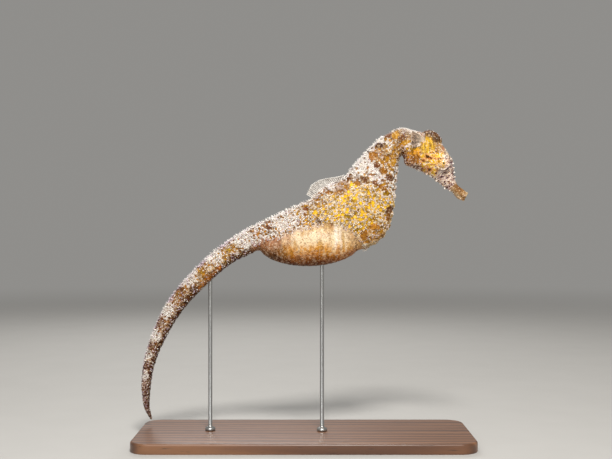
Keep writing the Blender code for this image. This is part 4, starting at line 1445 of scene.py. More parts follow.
# ---- the coat of papillae
@dataclass(frozen=True)
class Sprig:
    """A small shape that is repeated over the skin: corners, faces, and how near its tip."""

    corners: Array
    faces: Array
    tip: Array

    @classmethod
    def bead(cls) -> Sprig:
        """A rounded granule of twenty faces, its middle at the root."""
        bm = bmesh.new()
        bmesh.ops.create_icosphere(bm, subdivisions=1, radius=1.0)
        return cls.taken(bm)

    @classmethod
    def prongs(cls, count: int, lean: float, sides: int = 4) -> Sprig:
        """A tuft of tapering prongs, the first upright and the others leaning out."""
        bm = bmesh.new()
        for k in range(count):
            made = bmesh.ops.create_cone(bm, cap_ends=True, cap_tris=True, segments=sides,
                                         radius1=1.0, radius2=0.34, depth=1.0)["verts"]
            bmesh.ops.translate(bm, vec=(0, 0, 0.5), verts=made)
            around = 2 * pi * k / (count - 1) + 0.4
            way = Vector((cos(around), sin(around), 0)) * lean * (k > 0)
            for vert in made:
                vert.co.x *= 1 - 0.1 * vert.co.z
                if k:
                    vert.co *= Vector((0.8, 0.8, 0.72))
                vert.co += way * vert.co.z
        return cls.taken(bm)

    @classmethod
    def stalk(cls) -> Sprig:
        """A round head of eighty faces on a short neck."""
        bm = bmesh.new()
        head = bmesh.ops.create_icosphere(bm, subdivisions=2, radius=0.85)["verts"]
        placed(bm, head, (1.0, 1.0, 0.42), (0, 0, 0.64))
        neck = bmesh.ops.create_cone(bm, cap_ends=True, cap_tris=True, segments=8, radius1=0.8,
                                     radius2=0.5, depth=0.6)["verts"]
        bmesh.ops.translate(bm, vec=(0, 0, 0.3), verts=neck)
        return cls.taken(bm)

    @classmethod
    def taken(cls, bm: bmesh.types.BMesh) -> Sprig:
        """The sprig that the bmesh holds; the bmesh is freed."""
        bmesh.ops.triangulate(bm, faces=bm.faces)
        bm.verts.index_update()
        corners = np.array([vert.co[:] for vert in bm.verts])
        faces = np.array([[vert.index for vert in face.verts] for face in bm.faces], np.int32)
        bm.free()
        return cls(corners, faces, np.clip(corners[:, 2], 0, 1))


@dataclass
class Roots:
    """Where sprigs grow: points, normals, marks and the body's own places there."""

    points: Array
    normals: Array
    place: Array
    angle: Array
    net: Array
    spot: Array
    field: Array
    cover: Array
    tuft: Array
    pouch: Array
    saddle: Array
    clump: Array

    def kept(self, chosen: Array) -> Roots:
        """Only the chosen roots."""
        return Roots(*(getattr(self, each.name)[chosen] for each in fields(self)))

    def thinned(self, wanted: Array, gaps: Array | float, rng: Dice) -> Roots:
        """Roots kept by a chance of wanted each, and then only at gaps from one another."""
        chosen = rng.random(len(wanted)) < wanted
        gaps = np.broadcast_to(gaps, len(wanted))[chosen]
        roots = self.kept(chosen)
        return roots.kept(scattered(roots.points, gaps, rng))


@dataclass(frozen=True)
class Crop:
    """Sprigs of one shape: where they grow, and the corners and colours of each."""

    sprig: Sprig
    roots: Roots
    corners: Array
    colours: Array


@dataclass(frozen=True)
class Papillae:
    """Chalky papillae in each one's own tint, dusted by a grain of so many to the metre."""

    grain: float = 2600.0
    dust: Colour = (0.82, 0.78, 0.76)

    def made(self) -> Finish:
        """The material."""
        bench = Bench("pale_skin", Roughness=0.6, Specular_IOR_Level=0.15)
        grain = bench.noise(bench.own_place(), self.grain, 2.0)
        dust = bench.ramp(grain, (0.3, self.dust), (0.65, PLAIN))
        bench.feed(Base_Color=bench.shade(0.6, bench.stored("tint", "Color"), dust),
                   Roughness=0.5 + grain * 0.25)
        return bench.material


@dataclass
class Coat:
    """Granules and branching tufts over the skin, in pieces named by the body's regions."""

    skin: Skin
    paint: Paint
    candidates: int = 260_000
    seed: int = 5
    bead_gap: float = 0.54
    grain_gap: float = 0.62
    tuft_gap: float = 0.80
    neck_run: Pair = (60.0, 40.0)
    stray: float = 0.16
    sink: float = 0.06
    # The sprigs' colour at the foot and its gain towards the tip: painted shade at the foot,
    # lighter to the tip.
    foot_light: float = 0.68
    tip_light: float = 0.40
    knobs: tuple[tuple[str, float, float, float], ...] = (
        ("snout_base", -0.6, 162.0, 0.52), ("nose", -0.4, 158.0, 0.50), ("nose", 3.0, 164.0, 0.42),
        ("brow", 0.6, 160.0, 0.50), ("eye", 1.0, 156.0, 0.40), ("snout_waist", 0.4, 158.0, 0.36),
        ("snout_base", 0.4, 14.0, 0.40), ("nose", -1.2, 13.0, 0.44), ("nose", 1.2, 11.0, 0.42),
        ("brow", -0.8, 12.0, 0.44), ("brow", 1.4, 20.0, 0.36), ("snout_base", 0.6, 84.0, 0.34),
    )
    patch_radius: float = 0.0015
    unwrap_margin: float = 0.01
    regions: tuple[tuple[str, str, str], ...] = (
        ("head", "mouth", "arch"), ("neck", "arch", "shoulder"),
        ("trunk", "shoulder", "fin_rear"), ("rump", "fin_rear", "tail_root"),
        ("tail_upper", "tail_root", "tail_half"), ("tail_lower", "tail_half", "tail_tip"),
    )

    def roots(self, rng: Dice) -> Roots:
        """Random points all over the skin with what the skin's corners say there."""
        skin, paint = self.skin, self.paint
        corners = skin.triangles
        a, b, c = (skin.points[corners[:, k]] for k in range(3))
        area = lengths(np.cross(b - a, c - a))
        total = np.cumsum(area)
        picked = np.searchsorted(total, rng.random(self.candidates) * total[-1])
        one, two = rng.random((2, self.candidates))
        flip = one + two > 1
        one, two = np.where(flip, 1 - one, one), np.where(flip, 1 - two, two)
        share = abreast(1 - one - two, one, two)
        at = corners[picked]

        def spread(values: Array) -> Array:
            """What the corners' values come to at the picked points."""
            if values.ndim == 1:
                return (values[at] * share).sum(axis=1)
            return np.einsum("nk,nkc->nc", share, values[at])

        marks = (paint.net, paint.spot, paint.field, paint.cover, paint.tuft, paint.pouch,
                 paint.saddle)
        points = spread(skin.points)
        return Roots(points, unit(spread(skin.normals)), spread(skin.place),
                     skin.angle[at[:, 0]], *map(spread, marks), cloud(points, 1.05, 41))

    def grow(self, sprig: Sprig, roots: Roots, widths: Array, heights: Array, tints: Array,
             rng: Dice, lean: float = 0.0) -> Crop:
        """One sprig at every root.

        Args:
            sprig: the repeated shape.
            roots: where it grows.
            widths: its half width at each root.
            heights: its height at each root.
            tints: its colour at each root.
            rng: draws the turns.
            lean: how far its tip leans towards the tail.

        Returns:
            The sprigs, with painted shade at the foot that lightens towards the tip.
        """
        along = self.skin.body.section(roots.place).along
        along = along - roots.normals * (along * roots.normals).sum(axis=1)[:, None]
        stray = rng.normal(0, self.stray, (len(widths), 3))
        stem = unit(roots.normals + along * lean + stray)
        first = unit(np.cross(roots.normals, rng.normal(size=(len(widths), 3))))
        second = np.cross(roots.normals, first)
        x, y, z = sprig.corners.T[..., None, None]
        wide, high = widths[:, None], heights[:, None]
        corners = (roots.points + first * (x * wide) + second * (y * wide)
                   + stem * (z * high - self.sink)).swapaxes(0, 1)
        # Painted shade: each sprig darker at its foot, lightening to its tip.
        light = self.foot_light + self.tip_light * sprig.tip
        return Crop(sprig, roots, corners, np.clip(tints[:, None] * light[:, None], 0, 1))

    def tint(self, roots: Roots, rng: Dice) -> Array:
        """Each sprig's colour: the net's, with some tinged gold, brown or white, and some lilac as
        painted shade.
        """
        tints = roots.net * rng.normal(1.0, 0.10, (len(roots.place), 1))
        varied = 1 - 0.5 * roots.saddle
        low = rise(0.0, -0.55, roots.clump)
        tints = mixed(tints, roots.spot * 0.7, 0.55 * low * varied)
        chance = rng.random(len(roots.place))
        least = 0.0
        # The lilac-tinged share is painted shade, the purple-grey shade between granules; gold,
        # brown and white are tone.
        for most, over, share in ((0.14, LILAC, 0.7), (0.24, roots.spot, 0.75 * varied),
                                  (0.31, EARTH, 0.75 * varied), (0.50, WHITE, 0.8 * (low < 0.5))):
            tints = mixed(tints, over, share * ((chance > least) & (chance < most)))
            least = most
        return tints

    def beads(self, roots: Roots, rng: Dice) -> Crop:
        """The granules, crowded on the net and sparse and small in the spots and on the head."""
        wanted = roots.cover * (1 - 0.95 * rise(-0.12, 0.04, roots.field))
        wanted *= 0.10 + 0.90 * rise(-0.65, -0.20, roots.clump + 0.1 * roots.saddle)
        roots = roots.thinned(wanted, self.bead_gap - 0.08 * rise(*self.neck_run, roots.place), rng)
        inside = rise(-0.12, 0.04, roots.field)
        size = rng.uniform(0.24, 0.42, len(roots.place))
        size *= 1 - 0.25 * rise(*self.neck_run, roots.place)
        size *= (0.55 + 0.45 * rise(0, 30, self.skin.body.end - roots.place)) * (1 - 0.4 * inside)
        tints = mixed(self.tint(roots, rng), roots.spot * 1.25, 0.5 * inside)
        return self.grow(Sprig.bead(), roots, size, size * rng.uniform(0.8, 1.4, len(size)),
                         tints, rng)

    def grains(self, roots: Roots, rng: Dice) -> Crop:
        """Low, flat granules in the pouch's own colours."""
        wanted = rise(0.5, 0.9, roots.pouch) * rise(-0.7, -0.1, roots.clump) * 0.8
        roots = roots.thinned(wanted, self.grain_gap, rng)
        size = rng.uniform(0.20, 0.36, len(roots.place))
        tints = roots.net * rng.normal(1.0, 0.10, (len(size), 1))
        chance = rng.random(len(size))
        tints = mixed(tints, SHELL, 0.45 * (chance < 0.10))
        tints = mixed(tints, UMBER, 0.5 * (chance > 0.84))
        return self.grow(Sprig.bead(), roots, size, size * 0.45, tints, rng)

    def tufts(self, roots: Roots, rng: Dice) -> Crop:
        """The branching tufts, longest along the back."""
        wanted = roots.cover * rise(0.02, -0.30, roots.field) * rise(0.05, 0.35, roots.tuft)
        wanted *= rise(-0.4, 0.1, roots.clump)
        gaps = self.tuft_gap * (0.75 + 0.25 * np.clip(roots.tuft, 0, 1))
        roots = roots.thinned(wanted, gaps, rng)
        height = roots.tuft * rng.uniform(0.7, 1.6, len(roots.place))
        width = np.clip(0.12 + 0.08 * height, 0.13, 0.22)
        tints = mixed(self.tint(roots, rng), WHITE, 0.25)
        return self.grow(Sprig.prongs(4, 0.75), roots, width, height, tints, rng, lean=0.28)

    def stalks(self, roots: Roots, rng: Dice) -> Crop:
        """The round-headed knobs along the chin and down the snout's ridge, on both sides."""
        body = self.skin.body
        place = np.array([body.place_of[name] + shift for name, shift, _, _ in self.knobs] * 2)
        turn = np.radians([angle for _, _, angle, _ in self.knobs])
        size = np.array([size for *_, size in self.knobs] * 2)
        spots = body.surface(place, np.concatenate([turn, -turn]), -0.3)
        roots = roots.kept(nearest_of(tree_of(roots.points), spots)[0])
        tints = between(WHITE, PEACH, rng.uniform(0, 0.5, len(size)))
        return self.grow(Sprig.stalk(), roots, size, size * 2.1, tints, rng)

    def build(self) -> None:
        """Grows the coat and shares it out among the regions."""
        rng = np.random.default_rng(self.seed)
        roots = self.roots(rng)
        crops = (self.beads(roots, rng), self.tufts(roots, rng), self.stalks(roots, rng))
        finish, at = Papillae().made(), self.skin.body.place_of
        for name, start, end in self.regions:
            self.piece(name, at[start] - (start == "mouth"), at[end] + (end == "tail_tip"), crops,
                       finish)
        self.piece("pouch", at["shoulder"], at["tail_fifth"], (self.grains(roots, rng),), finish)

    def piece(self, name: str, low: float, high: float, crops: Sequence[Crop],
              finish: Finish) -> None:
        """One region's coat as one mesh, with its own unwrap.

        Args:
            name: the region.
            low: the place where it starts.
            high: the place where it ends.
            crops: the sprigs of the whole body.
            finish: the coat's material.
        """
        corners, colours, faces, spread, used = [], [], [], [], 0
        for crop in crops:
            mine = (crop.roots.place >= low) & (crop.roots.place < high)
            count, each = int(mine.sum()), len(crop.sprig.corners)
            corners.append(crop.corners[mine].reshape(-1, 3))
            colours.append(crop.colours[mine].reshape(-1, 3))
            shift = used + each * np.arange(count, dtype=np.int32)
            faces.append((crop.sprig.faces[None] + shift[:, None, None]).reshape(-1, 3))
            flat = crop.sprig.corners[:, :2] / np.abs(crop.sprig.corners[:, :2]).max()
            root = abreast((crop.roots.place[mine] - low) / (high - low),
                           crop.roots.angle[mine] / (2 * pi) + 0.5)
            root = self.unwrap_margin + root * (1 - 2 * self.unwrap_margin)
            spread.append((root[:, None] + flat * self.patch_radius).reshape(-1, 2))
            used += count * each
        made = bpy.data.meshes.new(f"coat_{name}")
        where, which = np.concatenate(corners), np.concatenate(faces).ravel()
        made.vertices.add(len(where))
        self.skin.body.settle(made, where)
        made.loops.add(len(which))
        made.loops.foreach_set("vertex_index", which)
        made.polygons.add(len(which) // 3)
        made.polygons.foreach_set("loop_start", np.arange(0, len(which), 3, dtype=np.int32))
        made.update(calc_edges=True)
        put_colours(made, "tint", np.concatenate(colours))
        unwrap = made.uv_layers.new(name="OFBake")
        unwrap.uv.foreach_set("vector", np.concatenate(spread)[which].ravel())
        fit_in(as_object(f"coat_{name}", made, finish), "pale_skin")


# ---- the eyes
@dataclass(frozen=True)
class WetEye:
    """A wet cornea over an iris streaked like the cheek round it.

    Its dark rim, bright ring and dark pupil fade over these shares of a quarter turn from the
    eye's axis.
    """

    rim: Pair = (0.62, 0.85)
    ring: Pair = (0.20, 0.14)
    pupil: Pair = (0.115, 0.085)
    dark: Colour = (0.05, 0.022, 0.016)

    def made(self) -> Finish:
        """The material."""
        bench = Bench("eye_glass", Roughness=0.25, Coat_Weight=0.35, Coat_Roughness=0.06)
        away = bench.stored("away")
        spoke = bench.stored("spoke", "Vector")
        wander = bench.noise(spoke, 2.4)
        fine = bench.noise(spoke, 5.0, 3.0, 0.7)
        ahead, up, _ = bench.parts(spoke)
        fore = bench.ramp(fine, (0.40, PLUM), (0.45, ROSE), (0.50, PEACH), (0.55, WHITE),
                          (0.62, PEACH), (0.68, PLUM))
        rear = bench.ramp(fine, (0.40, UMBER), (0.45, ORANGE), (0.50, GOLD), (0.55, AMBER),
                          (0.60, WHITE), (0.66, RUST))
        iris = bench.blend((ahead + up * 0.3).step(0.35, -0.35), fore, rear)
        iris = bench.blend(away.step(*self.rim) * 0.6, iris, PLUM)
        ringed = bench.blend((away + (wander - 0.5) * 0.05).step(*self.ring) * 0.7, iris, GOLD)
        pupil = (away + (wander - 0.5) * 0.03).step(*self.pupil)
        bench.feed(Base_Color=bench.blend(pupil, ringed, self.dark))
        return bench.material


@dataclass
class Eyes:
    """The two eyes: a bulging ball with a small pupil, a bright ring and a streaked iris."""

    body: Body
    axis: Point = (0.16, 1.0, 0.02)
    cornea_lift: float = 0.12
    cornea_width: float = 26.0

    def build(self) -> None:
        """Both eyes, with the angle from the pupil and the bearing round it stored."""
        finish = WetEye().made()
        for name, side in (("eye_left", 1.0), ("eye_right", -1.0)):
            centre = np.array(EYE_CENTRE) * (1, side, 1)
            mesh = ball(name, centre, [EYE_RADIUS] * 3, rings=64)
            points = points_of(mesh)
            out = unit(np.array([self.axis]) * (1, side, 1))
            ray = unit(points - centre)
            away = np.degrees(np.arccos(np.clip(ray @ out[0], -1, 1)))
            up = unit(np.cross(np.cross(out, (0, 0, 1)), out))[0]
            ahead = np.cross(out[0], up) * side
            bearing = np.arctan2(ray @ up, ray @ ahead)
            far = away / 90
            put_attribute(mesh, "away", far)
            put_attribute(mesh, "spoke", abreast(np.cos(bearing), np.sin(bearing), far))
            lift = self.cornea_lift * hump(away, 0, self.cornea_width)
            self.body.settle(mesh, points + ray * lift[:, None])
            fit_in(as_object(f"seahorse_{name}", mesh, finish), "eye_glass", name)


# ---- the fins
@dataclass
class Fan:
    """One thin fin: where its rays start, where they end, and how it is finished."""

    name: str
    roots: Array
    tips: Array
    side: Array
    ripple: float = 0.3
    waves: float = 5.0
    thickness: float = 0.10
    ray_radius: float = 0.14
    rim_radius: float = 0.09
    scallop: float = 0.12
    steps_between_rays: int = 4
    steps_out: int = 14

    def sheet_points(self, across: Array, outward: Array) -> Array:
        """Points of the web at shares across the fan and out along its rays."""
        shares = np.linspace(0, 1, len(self.roots))
        root, tip = (read_off(across, shares, ends) for ends in (self.roots, self.tips))
        midway = np.abs(np.sin(pi * across * (len(self.roots) - 1)))
        reach = outward * (1 - self.scallop * midway * outward)
        wave = self.ripple * np.sin(2 * pi * self.waves * across + 2.5 * outward) * outward
        return root + (tip - root) * reach[:, None] + self.side * wave[:, None]

    def web(self) -> Mesh:
        """The membrane between the rays."""
        columns = (len(self.roots) - 1) * self.steps_between_rays
        flat = rolled(self.name + "_web", columns, self.steps_out, self.sheet_points, caps=False)
        return evaluated(flat, "SOLIDIFY", thickness=self.thickness, offset=0.0)

    def rod(self, across: Callable[[Array], Array], outward: Callable[[Array], Array],
            radius: Callable[[Array], Array], steps: int) -> Mesh:
        """A tapering tube along a line of the web, its ends closed.

        Args:
            across: the line's shares across the fan, from shares along the line.
            outward: its shares out along the rays.
            radius: the tube's radius.
            steps: rings along it.

        Returns:
            The tube.
        """
        def shape(along: Array, turn: Array) -> Array:
            """Points at shares along the tube and round it."""
            middle = self.sheet_points(across(along), outward(along))
            ahead = unit(self.sheet_points(across(along + 0.01), outward(along + 0.01)) - middle)
            one = unit(np.cross(ahead, self.side[None]))
            two = np.cross(ahead, one)
            angle = turn * 2 * pi
            size = radius(along)[:, None]
            return middle + size * (one * np.cos(angle)[:, None] + two * np.sin(angle)[:, None])
        return rolled(self.name + "_ray", steps, 6, shape)

    def rays(self) -> list[Mesh]:
        """The stiff rays, and a fine rim along their tips."""
        found = [self.rod(lambda a, s=share: np.full(len(a), s), lambda a: a,
                          lambda a: self.ray_radius * (1 - 0.7 * a), 8)
                 for share in np.linspace(0, 1, len(self.roots))]
        return found + [self.rod(lambda a: a * 0.99, np.ones_like,
                                 lambda a: np.full(len(a), self.rim_radius), 90)]

    def build(self, body: Body, finish: Finish) -> None:
        """The fin as one piece."""
        web = self.web()
        mesh = joined(self.name, [web, *self.rays()])
        points = points_of(mesh)
        put_attribute(mesh, "ray", (np.arange(len(points)) >= len(web.vertices)).astype(float))
        body.settle(mesh, points)
        fit_in(as_object(f"seahorse_{self.name}", mesh, finish), "fin_skin", self.name)


@dataclass(frozen=True)
class FinSkin:
    """A blotched web on pale rays.

    Its name, the web's dark blotches and its colour between them, the rays' colour, and how
    solid the web's clearest part is.
    """

    name: str
    dark: Colour
    pale: Colour
    ray: Colour
    least: float

    def made(self) -> Finish:
        """The material."""
        bench = Bench(self.name, Roughness=0.4, Specular_IOR_Level=0.4)
        blotch = bench.noise(bench.own_place(), 900.0)
        ray = bench.stored("ray")
        web = bench.blend(blotch.step(0.46, 0.58), self.dark, self.pale)
        bench.feed(Base_Color=bench.blend(ray, web, self.ray),
                   Alpha=(self.least + blotch * 0.34) * (1 - ray) + ray * 0.95)
        return bench.material


@dataclass
class Fins:
    """The dorsal, the two pectoral and the tiny anal fin."""

    body: Body
    seat: float = -0.3
    sink: float = 0.7
    dorsal_rays: int = 25
    dorsal_lead: float = -1.5
    dorsal_end: float = -1.6
    dorsal_fan: tuple[Pair, ...] = (
        (1.2, 108.0), (3.1, 128.0), (4.8, 136.0), (5.6, 143.0), (4.0, 149.0))
    pectoral_rays: int = 15
    pectoral_root: Pair = (60.0, 150.2)
    pectoral_base: float = 2.6
    pectoral_length: float = 7.4
    pectoral_spread: float = radians(24)
    pectoral_swing: float = radians(26)
    anal_rays: int = 5
    anal_lead: float = 2.2
    anal_length: float = 1.8
    anal_base: float = 1.5

    def sunk(self, roots: Array, tips: Array) -> Array:
        """The roots let into the body by the fins' sink."""
        return roots - unit(tips - roots) * self.sink

    def upright(self, name: str, place: Array, angle: float, reach: Array, lean: Array,
                **shape: float) -> Fan:
        """A fan on the body's middle plane.

        Args:
            name: the fin's name.
            place: how far along the body each ray starts.
            angle: how far round it they start.
            reach: each ray's length.
            lean: each ray's turn from straight ahead towards up, in degrees.
            shape: the fan's own ripple, waves and radii.

        Returns:
            The fan.
        """
        roots = self.body.surface(place, np.full(len(place), angle), self.seat)
        lean = np.radians(lean)
        tips = roots + abreast(np.cos(lean), 0, np.sin(lean)) * reach[:, None]
        return Fan(name, self.sunk(roots, tips), tips, np.array([0.0, 1.0, 0.0]), **shape)

    def dorsal(self) -> Fan:
        """The fan along the last trunk rings, its rear rays leaning back."""
        start = self.body.place_of["fin_front"] + self.dorsal_lead
        share = np.linspace(0, 1, self.dorsal_rays)
        place = start + (self.body.place_of["vent"] + self.dorsal_end - start) * share
        reach, lean = read_off(share, np.linspace(0, 1, len(self.dorsal_fan)), self.dorsal_fan).T
        return self.upright("dorsal_fin", place, 0.0, reach, lean, ripple=0.28, waves=4.0)

    def pectoral(self, side: float) -> Fan:
        """One ear-like fan behind the gill cover."""
        at = self.body.place_of
        place, angle = (grid.ravel() for grid in np.meshgrid(
            np.linspace(at["cheek"], at["nape"], 60), np.linspace(0, pi, 60)))
        flank = self.body.surface(place, angle)
        best = lengths(flank[:, [0, 2]] - self.pectoral_root).argmin()
        root = flank[best] * (1, side, 1)
        across = np.linspace(1, -1, self.pectoral_rays)
        angles = self.pectoral_spread * across
        base = abreast(0, 0, self.pectoral_base / 2 * across)
        reach = abreast(-np.cos(angles), 0, np.sin(angles)) * self.pectoral_length
        turn = np.array(Matrix.Rotation(-side * self.pectoral_swing, 3, "Z"))
        roots, tips = root + base @ turn.T, root + (base + reach) @ turn.T
        name = "pectoral_fin_left" if side > 0 else "pectoral_fin_right"
        return Fan(name, self.sunk(roots, tips), tips, turn @ (0.0, side, 0.0), ripple=0.32,
                   waves=3.0, scallop=0.08)

    def anal(self) -> Fan:
        """The tiny fan at the vent."""
        share = np.linspace(-0.5, 0.5, self.anal_rays)
        place = self.body.place_of["fin_rear"] + self.anal_lead + share * self.anal_base
        reach = np.full(len(share), self.anal_length)
        return self.upright("anal_fin", place, pi, reach, 236 - 24 * share, ripple=0.1,
                            waves=1.0, ray_radius=0.08)

    def build(self) -> None:
        """All the fins."""
        clear = FinSkin("fin_skin", tone(140, 122, 106), tone(226, 218, 206),
                        tone(252, 248, 240), 0.08).made()
        smoky = FinSkin("ear_fin_skin", tone(64, 42, 36), tone(146, 120, 100),
                        tone(204, 184, 160), 0.62).made()
        for fan, finish in ((self.dorsal(), clear), (self.pectoral(1.0), smoky),
                            (self.pectoral(-1.0), smoky), (self.anal(), clear)):
            fan.build(self.body, finish)


# ---- the display stand
@dataclass(frozen=True)
class Walnut:
    """Oiled walnut with its grain along the base: its tones, dark to pale, and its pores'."""

    tones: tuple[Colour, ...] = (tone(70, 44, 30), tone(106, 70, 47), tone(138, 96, 64))
    pore: Colour = tone(44, 27, 18)

    def made(self) -> Finish:
        """The material."""
        bench = Bench("stand_wood", Roughness=0.4, Coat_Weight=0.25, Coat_Roughness=0.25)
        at = bench.own_place()
        place = bench.scaled(at, (5.0, 60.0, 60.0), (0.0, 0.05, 0.04))
        swirl = bench.noise(place, 1.6)
        rings = bench.add("TexWave", {"wave_type": "BANDS", "bands_direction": "Y"}, {
            "Vector": place, "Scale": 0.9, "Distortion": 7.0, "Detail": 3.0, "Detail Scale": 1.2})
        pore = bench.noise(bench.scaled(at, (90.0, 1500.0, 1500.0)), 1.0, 2.0)
        wood = bench.ramp(rings * 0.6 + swirl * 0.4, *zip((0.0, 0.5, 1.0), self.tones))
        bench.feed(Base_Color=bench.blend(pore.step(0.62, 0.74) * 0.7, wood, self.pore),
                   Roughness=0.34 + pore * 0.2)
        bench.bump(pore.step(0.75, 0.60), 0.0001, 0.5)
        return bench.material


@dataclass(frozen=True)
class BrushedSteel:
    """Steel brushed round and round, in two tones."""

    dark: Colour = tone(176, 176, 174)
    pale: Colour = tone(206, 206, 204)

    def made(self) -> Finish:
        """The material."""
        bench = Bench("stand_steel", Metallic=1.0, Roughness=0.3)
        brush = bench.noise(bench.scaled(bench.own_place(), (300.0, 300.0, 5000.0)), 1.0)
        bench.feed(Base_Color=bench.blend(brush, self.dark, self.pale),
                   Roughness=0.22 + brush * 0.18)
        bench.bump(brush, 0.00003, 0.4)
        return bench.material


@dataclass
class Stand:
    """A rounded walnut base and two steel rods, sized by the frame's own stand."""

    corner: float = 9.0
    corner_steps: int = 14
    edge: float = 1.0
    foot_edge: float = 0.3
    edge_steps: int = 5
    rod_radius: float = 1.0
    ferrule_radius: float = 2.6
    ferrule_height: float = 2.0
    seat_gap: float = 0.3
    round_steps: int = 40
    base_crease: float = 35.0
    rod_crease: float = 40.0

    def fitted(self, node: str, bm: bmesh.types.BMesh, slot: str, finish: Finish,
               sharp: float) -> None:
        """Replaces a node by the bmesh's shape, with edges over sharp degrees kept crisp."""
        placed(bm, bm.verts, (TO_METRES,) * 3)
        made = as_object(node + "_fine", mesh_of(node + "_fine", bm), finish)
        made.data.set_sharp_from_angle(angle=radians(sharp))
        fit_in(made, slot, node)

    def base(self) -> None:
        """The flat base, its corners and its upper edge rounded."""
        low, high = (np.array(v) / TO_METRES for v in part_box("stand_base"))
        bm = bmesh.new()
        bmesh.ops.create_cube(bm, size=1.0)
        placed(bm, bm.verts, high - low, (high + low) / 2)

        def rounded(chosen: Callable, offset: float, segments: int) -> None:
            """Bevels the edges whose two heights are chosen."""
            edges = [e for e in bm.edges if chosen(*(v.co.z for v in e.verts))]
            bmesh.ops.bevel(bm, geom=edges, offset=offset, segments=segments, profile=0.5,
                            affect="EDGES", material=-1)

        rounded(lambda a, b: abs(a - b) > 1, self.corner, self.corner_steps)
        for level, offset in ((high[2], self.edge), (low[2], self.foot_edge)):
            rounded(lambda a, b: max(abs(a - level), abs(b - level)) < 0.01, offset,
                    self.edge_steps)
        self.fitted("stand_base", bm, "stand_wood", Walnut().made(), self.base_crease)

    def rod(self, node: str, finish: Finish) -> None:
        """One rod with its ferrule, turned from a profile."""
        low, high = (np.array(v) / TO_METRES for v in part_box(node))
        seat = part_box("stand_base")[1][2] / TO_METRES + self.seat_gap
        top, wide, thin = high[2], self.ferrule_radius, self.rod_radius
        collar = seat + self.ferrule_height
        profile = ((0, low[2]), (thin, low[2]), (thin, seat), (wide - 0.2, seat),
                   (wide, seat + 0.2), (wide, seat + 0.9), (wide - 0.15, seat + 1.15),
                   (thin + 0.5, collar - 0.25), (thin + 0.15, collar - 0.05), (thin, collar + 0.25),
                   (thin, top - 0.25), (thin - 0.25, top), (0, top))
        bm = bmesh.new()
        corners = [bm.verts.new((radius, 0, height)) for radius, height in profile]
        edges = [bm.edges.new(pair) for pair in zip(corners, corners[1:])]
        bmesh.ops.spin(bm, geom=corners + edges, axis=(0, 0, 1), cent=(0, 0, 0),
                       angle=2 * pi, steps=self.round_steps, use_merge=True)
        bmesh.ops.remove_doubles(bm, verts=bm.verts, dist=1e-3)
        bmesh.ops.recalc_face_normals(bm, faces=bm.faces)
        placed(bm, bm.verts, (1, 1, 1), (*((low + high) / 2)[:2], 0))
        self.fitted(node, bm, "stand_steel", finish, self.rod_crease)

    def build(self) -> None:
        """The base and both rods."""
        self.base()
        steel = BrushedSteel().made()
        for node in ("stand_rod_front", "stand_rod_rear"):
            self.rod(node, steel)


# ---- the studio
@dataclass
class Lamp:
    """A soft square light: where it hangs, what it looks at, its size, power and colour."""

    name: str
    place: Point
    size: float
    power: float
    colour: Colour = (1.0, 1.0, 1.0)


@dataclass(frozen=True)
class FloorPaint:
    """Matt paint that fades into the room's own colour and glow at these metres out."""

    room: Colour
    glow: float
    haze: Pair = (0.35, 1.5)
    dark: Colour = tone(178, 176, 172)
    pale: Colour = tone(184, 182, 178)

    def made(self) -> Finish:
        """The material."""
        bench = Bench("pale_floor", Roughness=0.7, Specular_IOR_Level=0.2)
        at = bench.own_place()
        glow = bench.add("Emission", {}, {"Color": self.room, "Strength": self.glow})
        mix = bench.add("MixShader", {}, {0: bench.length(at).step(*self.haze), 1: Wire(
            bench, bench.shader.outputs[0]), 2: glow})
        bench.feed(Base_Color=bench.blend(bench.noise(at, 30.0), self.dark, self.pale))
        output = next(n for n in bench.tree.nodes if n.type == "OUTPUT_MATERIAL")
        bench.put(output.inputs["Surface"], mix)
        return bench.material


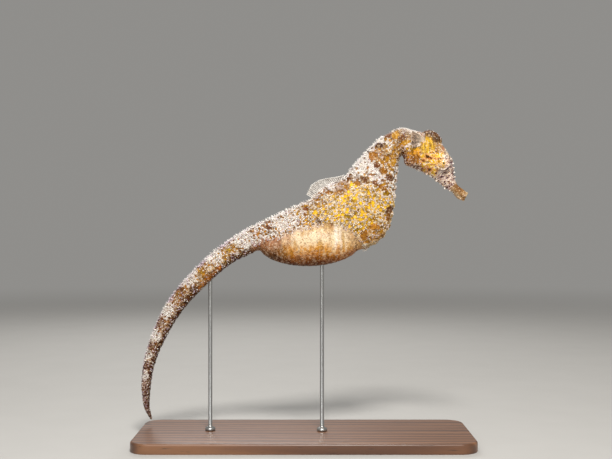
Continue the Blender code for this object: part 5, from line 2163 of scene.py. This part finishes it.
@dataclass
class Studio:
    """A pale floor, soft lights and the camera, in metres; aim is what the camera looks at."""

    aim: Point = (0.001, 0.0, 0.10575)
    distance: float = 0.5
    seen_width: float = 0.306
    sensor: float = 36.0
    floor_radius: float = 3.0
    pale: Colour = tone(206, 204, 200)
    glow: float = 0.45
    lamps: tuple[Lamp, ...] = (
        Lamp("key_light", (0.05, -0.50, 0.66), 0.16, 7.2, (1.0, 0.98, 0.95)),
        Lamp("fill_light", (-0.15, -0.72, 0.36), 0.4, 1.5, (0.97, 0.98, 1.0)),
        Lamp("rim_light", (-0.10, 0.60, 0.55), 0.35, 2.2),
    )

    def camera(self) -> None:
        """A level camera at the animal's right side."""
        lens = bpy.data.cameras.new("camera")
        lens.sensor_width = self.sensor
        lens.lens = self.sensor * self.distance / self.seen_width
        lens.clip_start = 0.01
        made = linked("camera", lens)
        made.location = Vector(self.aim) - Vector((0, self.distance, 0))
        made.rotation_euler = (radians(90), 0, 0)
        bpy.context.scene.camera = made

    def floor(self) -> None:
        """A pale round floor, so wide that its edge is out of sight."""
        bm = bmesh.new()
        bmesh.ops.create_circle(bm, cap_ends=True, segments=96, radius=self.floor_radius)
        finish = FloorPaint(self.pale, self.glow).made()
        as_object("floor", mesh_of("floor", bm), finish)

    def light(self) -> None:
        """The soft lights, and a pale room round them."""
        for lamp in self.lamps:
            data = bpy.data.lights.new(lamp.name, "AREA")
            data.size, data.energy, data.color = lamp.size, lamp.power, lamp.colour
            made = linked(lamp.name, data)
            made.location = lamp.place
            way = Vector(self.aim) - Vector(lamp.place)
            made.rotation_euler = way.to_track_quat("-Z", "Y").to_euler()
        world = bpy.data.worlds.new("room")
        world.use_nodes = True
        colour, strength = world.node_tree.nodes["Background"].inputs[:2]
        colour.default_value, strength.default_value = (*self.pale, 1), self.glow
        bpy.context.scene.world = world

    def build(self) -> None:
        """Sets the studio up."""
        self.camera()
        self.floor()
        self.light()
        view = bpy.context.scene.view_settings
        view.view_transform, view.look = "Standard", "None"


def main() -> None:
    """Builds the whole scene in order."""
    logging.basicConfig(level=logging.INFO, format="%(relativeCreated)6d ms %(message)s")
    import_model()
    Studio().build()
    Stand().build()
    body, pouch = Body(), Pouch()
    skin = Skin(body, pouch)
    paint = skin.build()
    skin.show()
    Coat(skin, paint).build()
    Eyes(body).build()
    Fins(body).build()


if __name__ == "__main__":
    main()
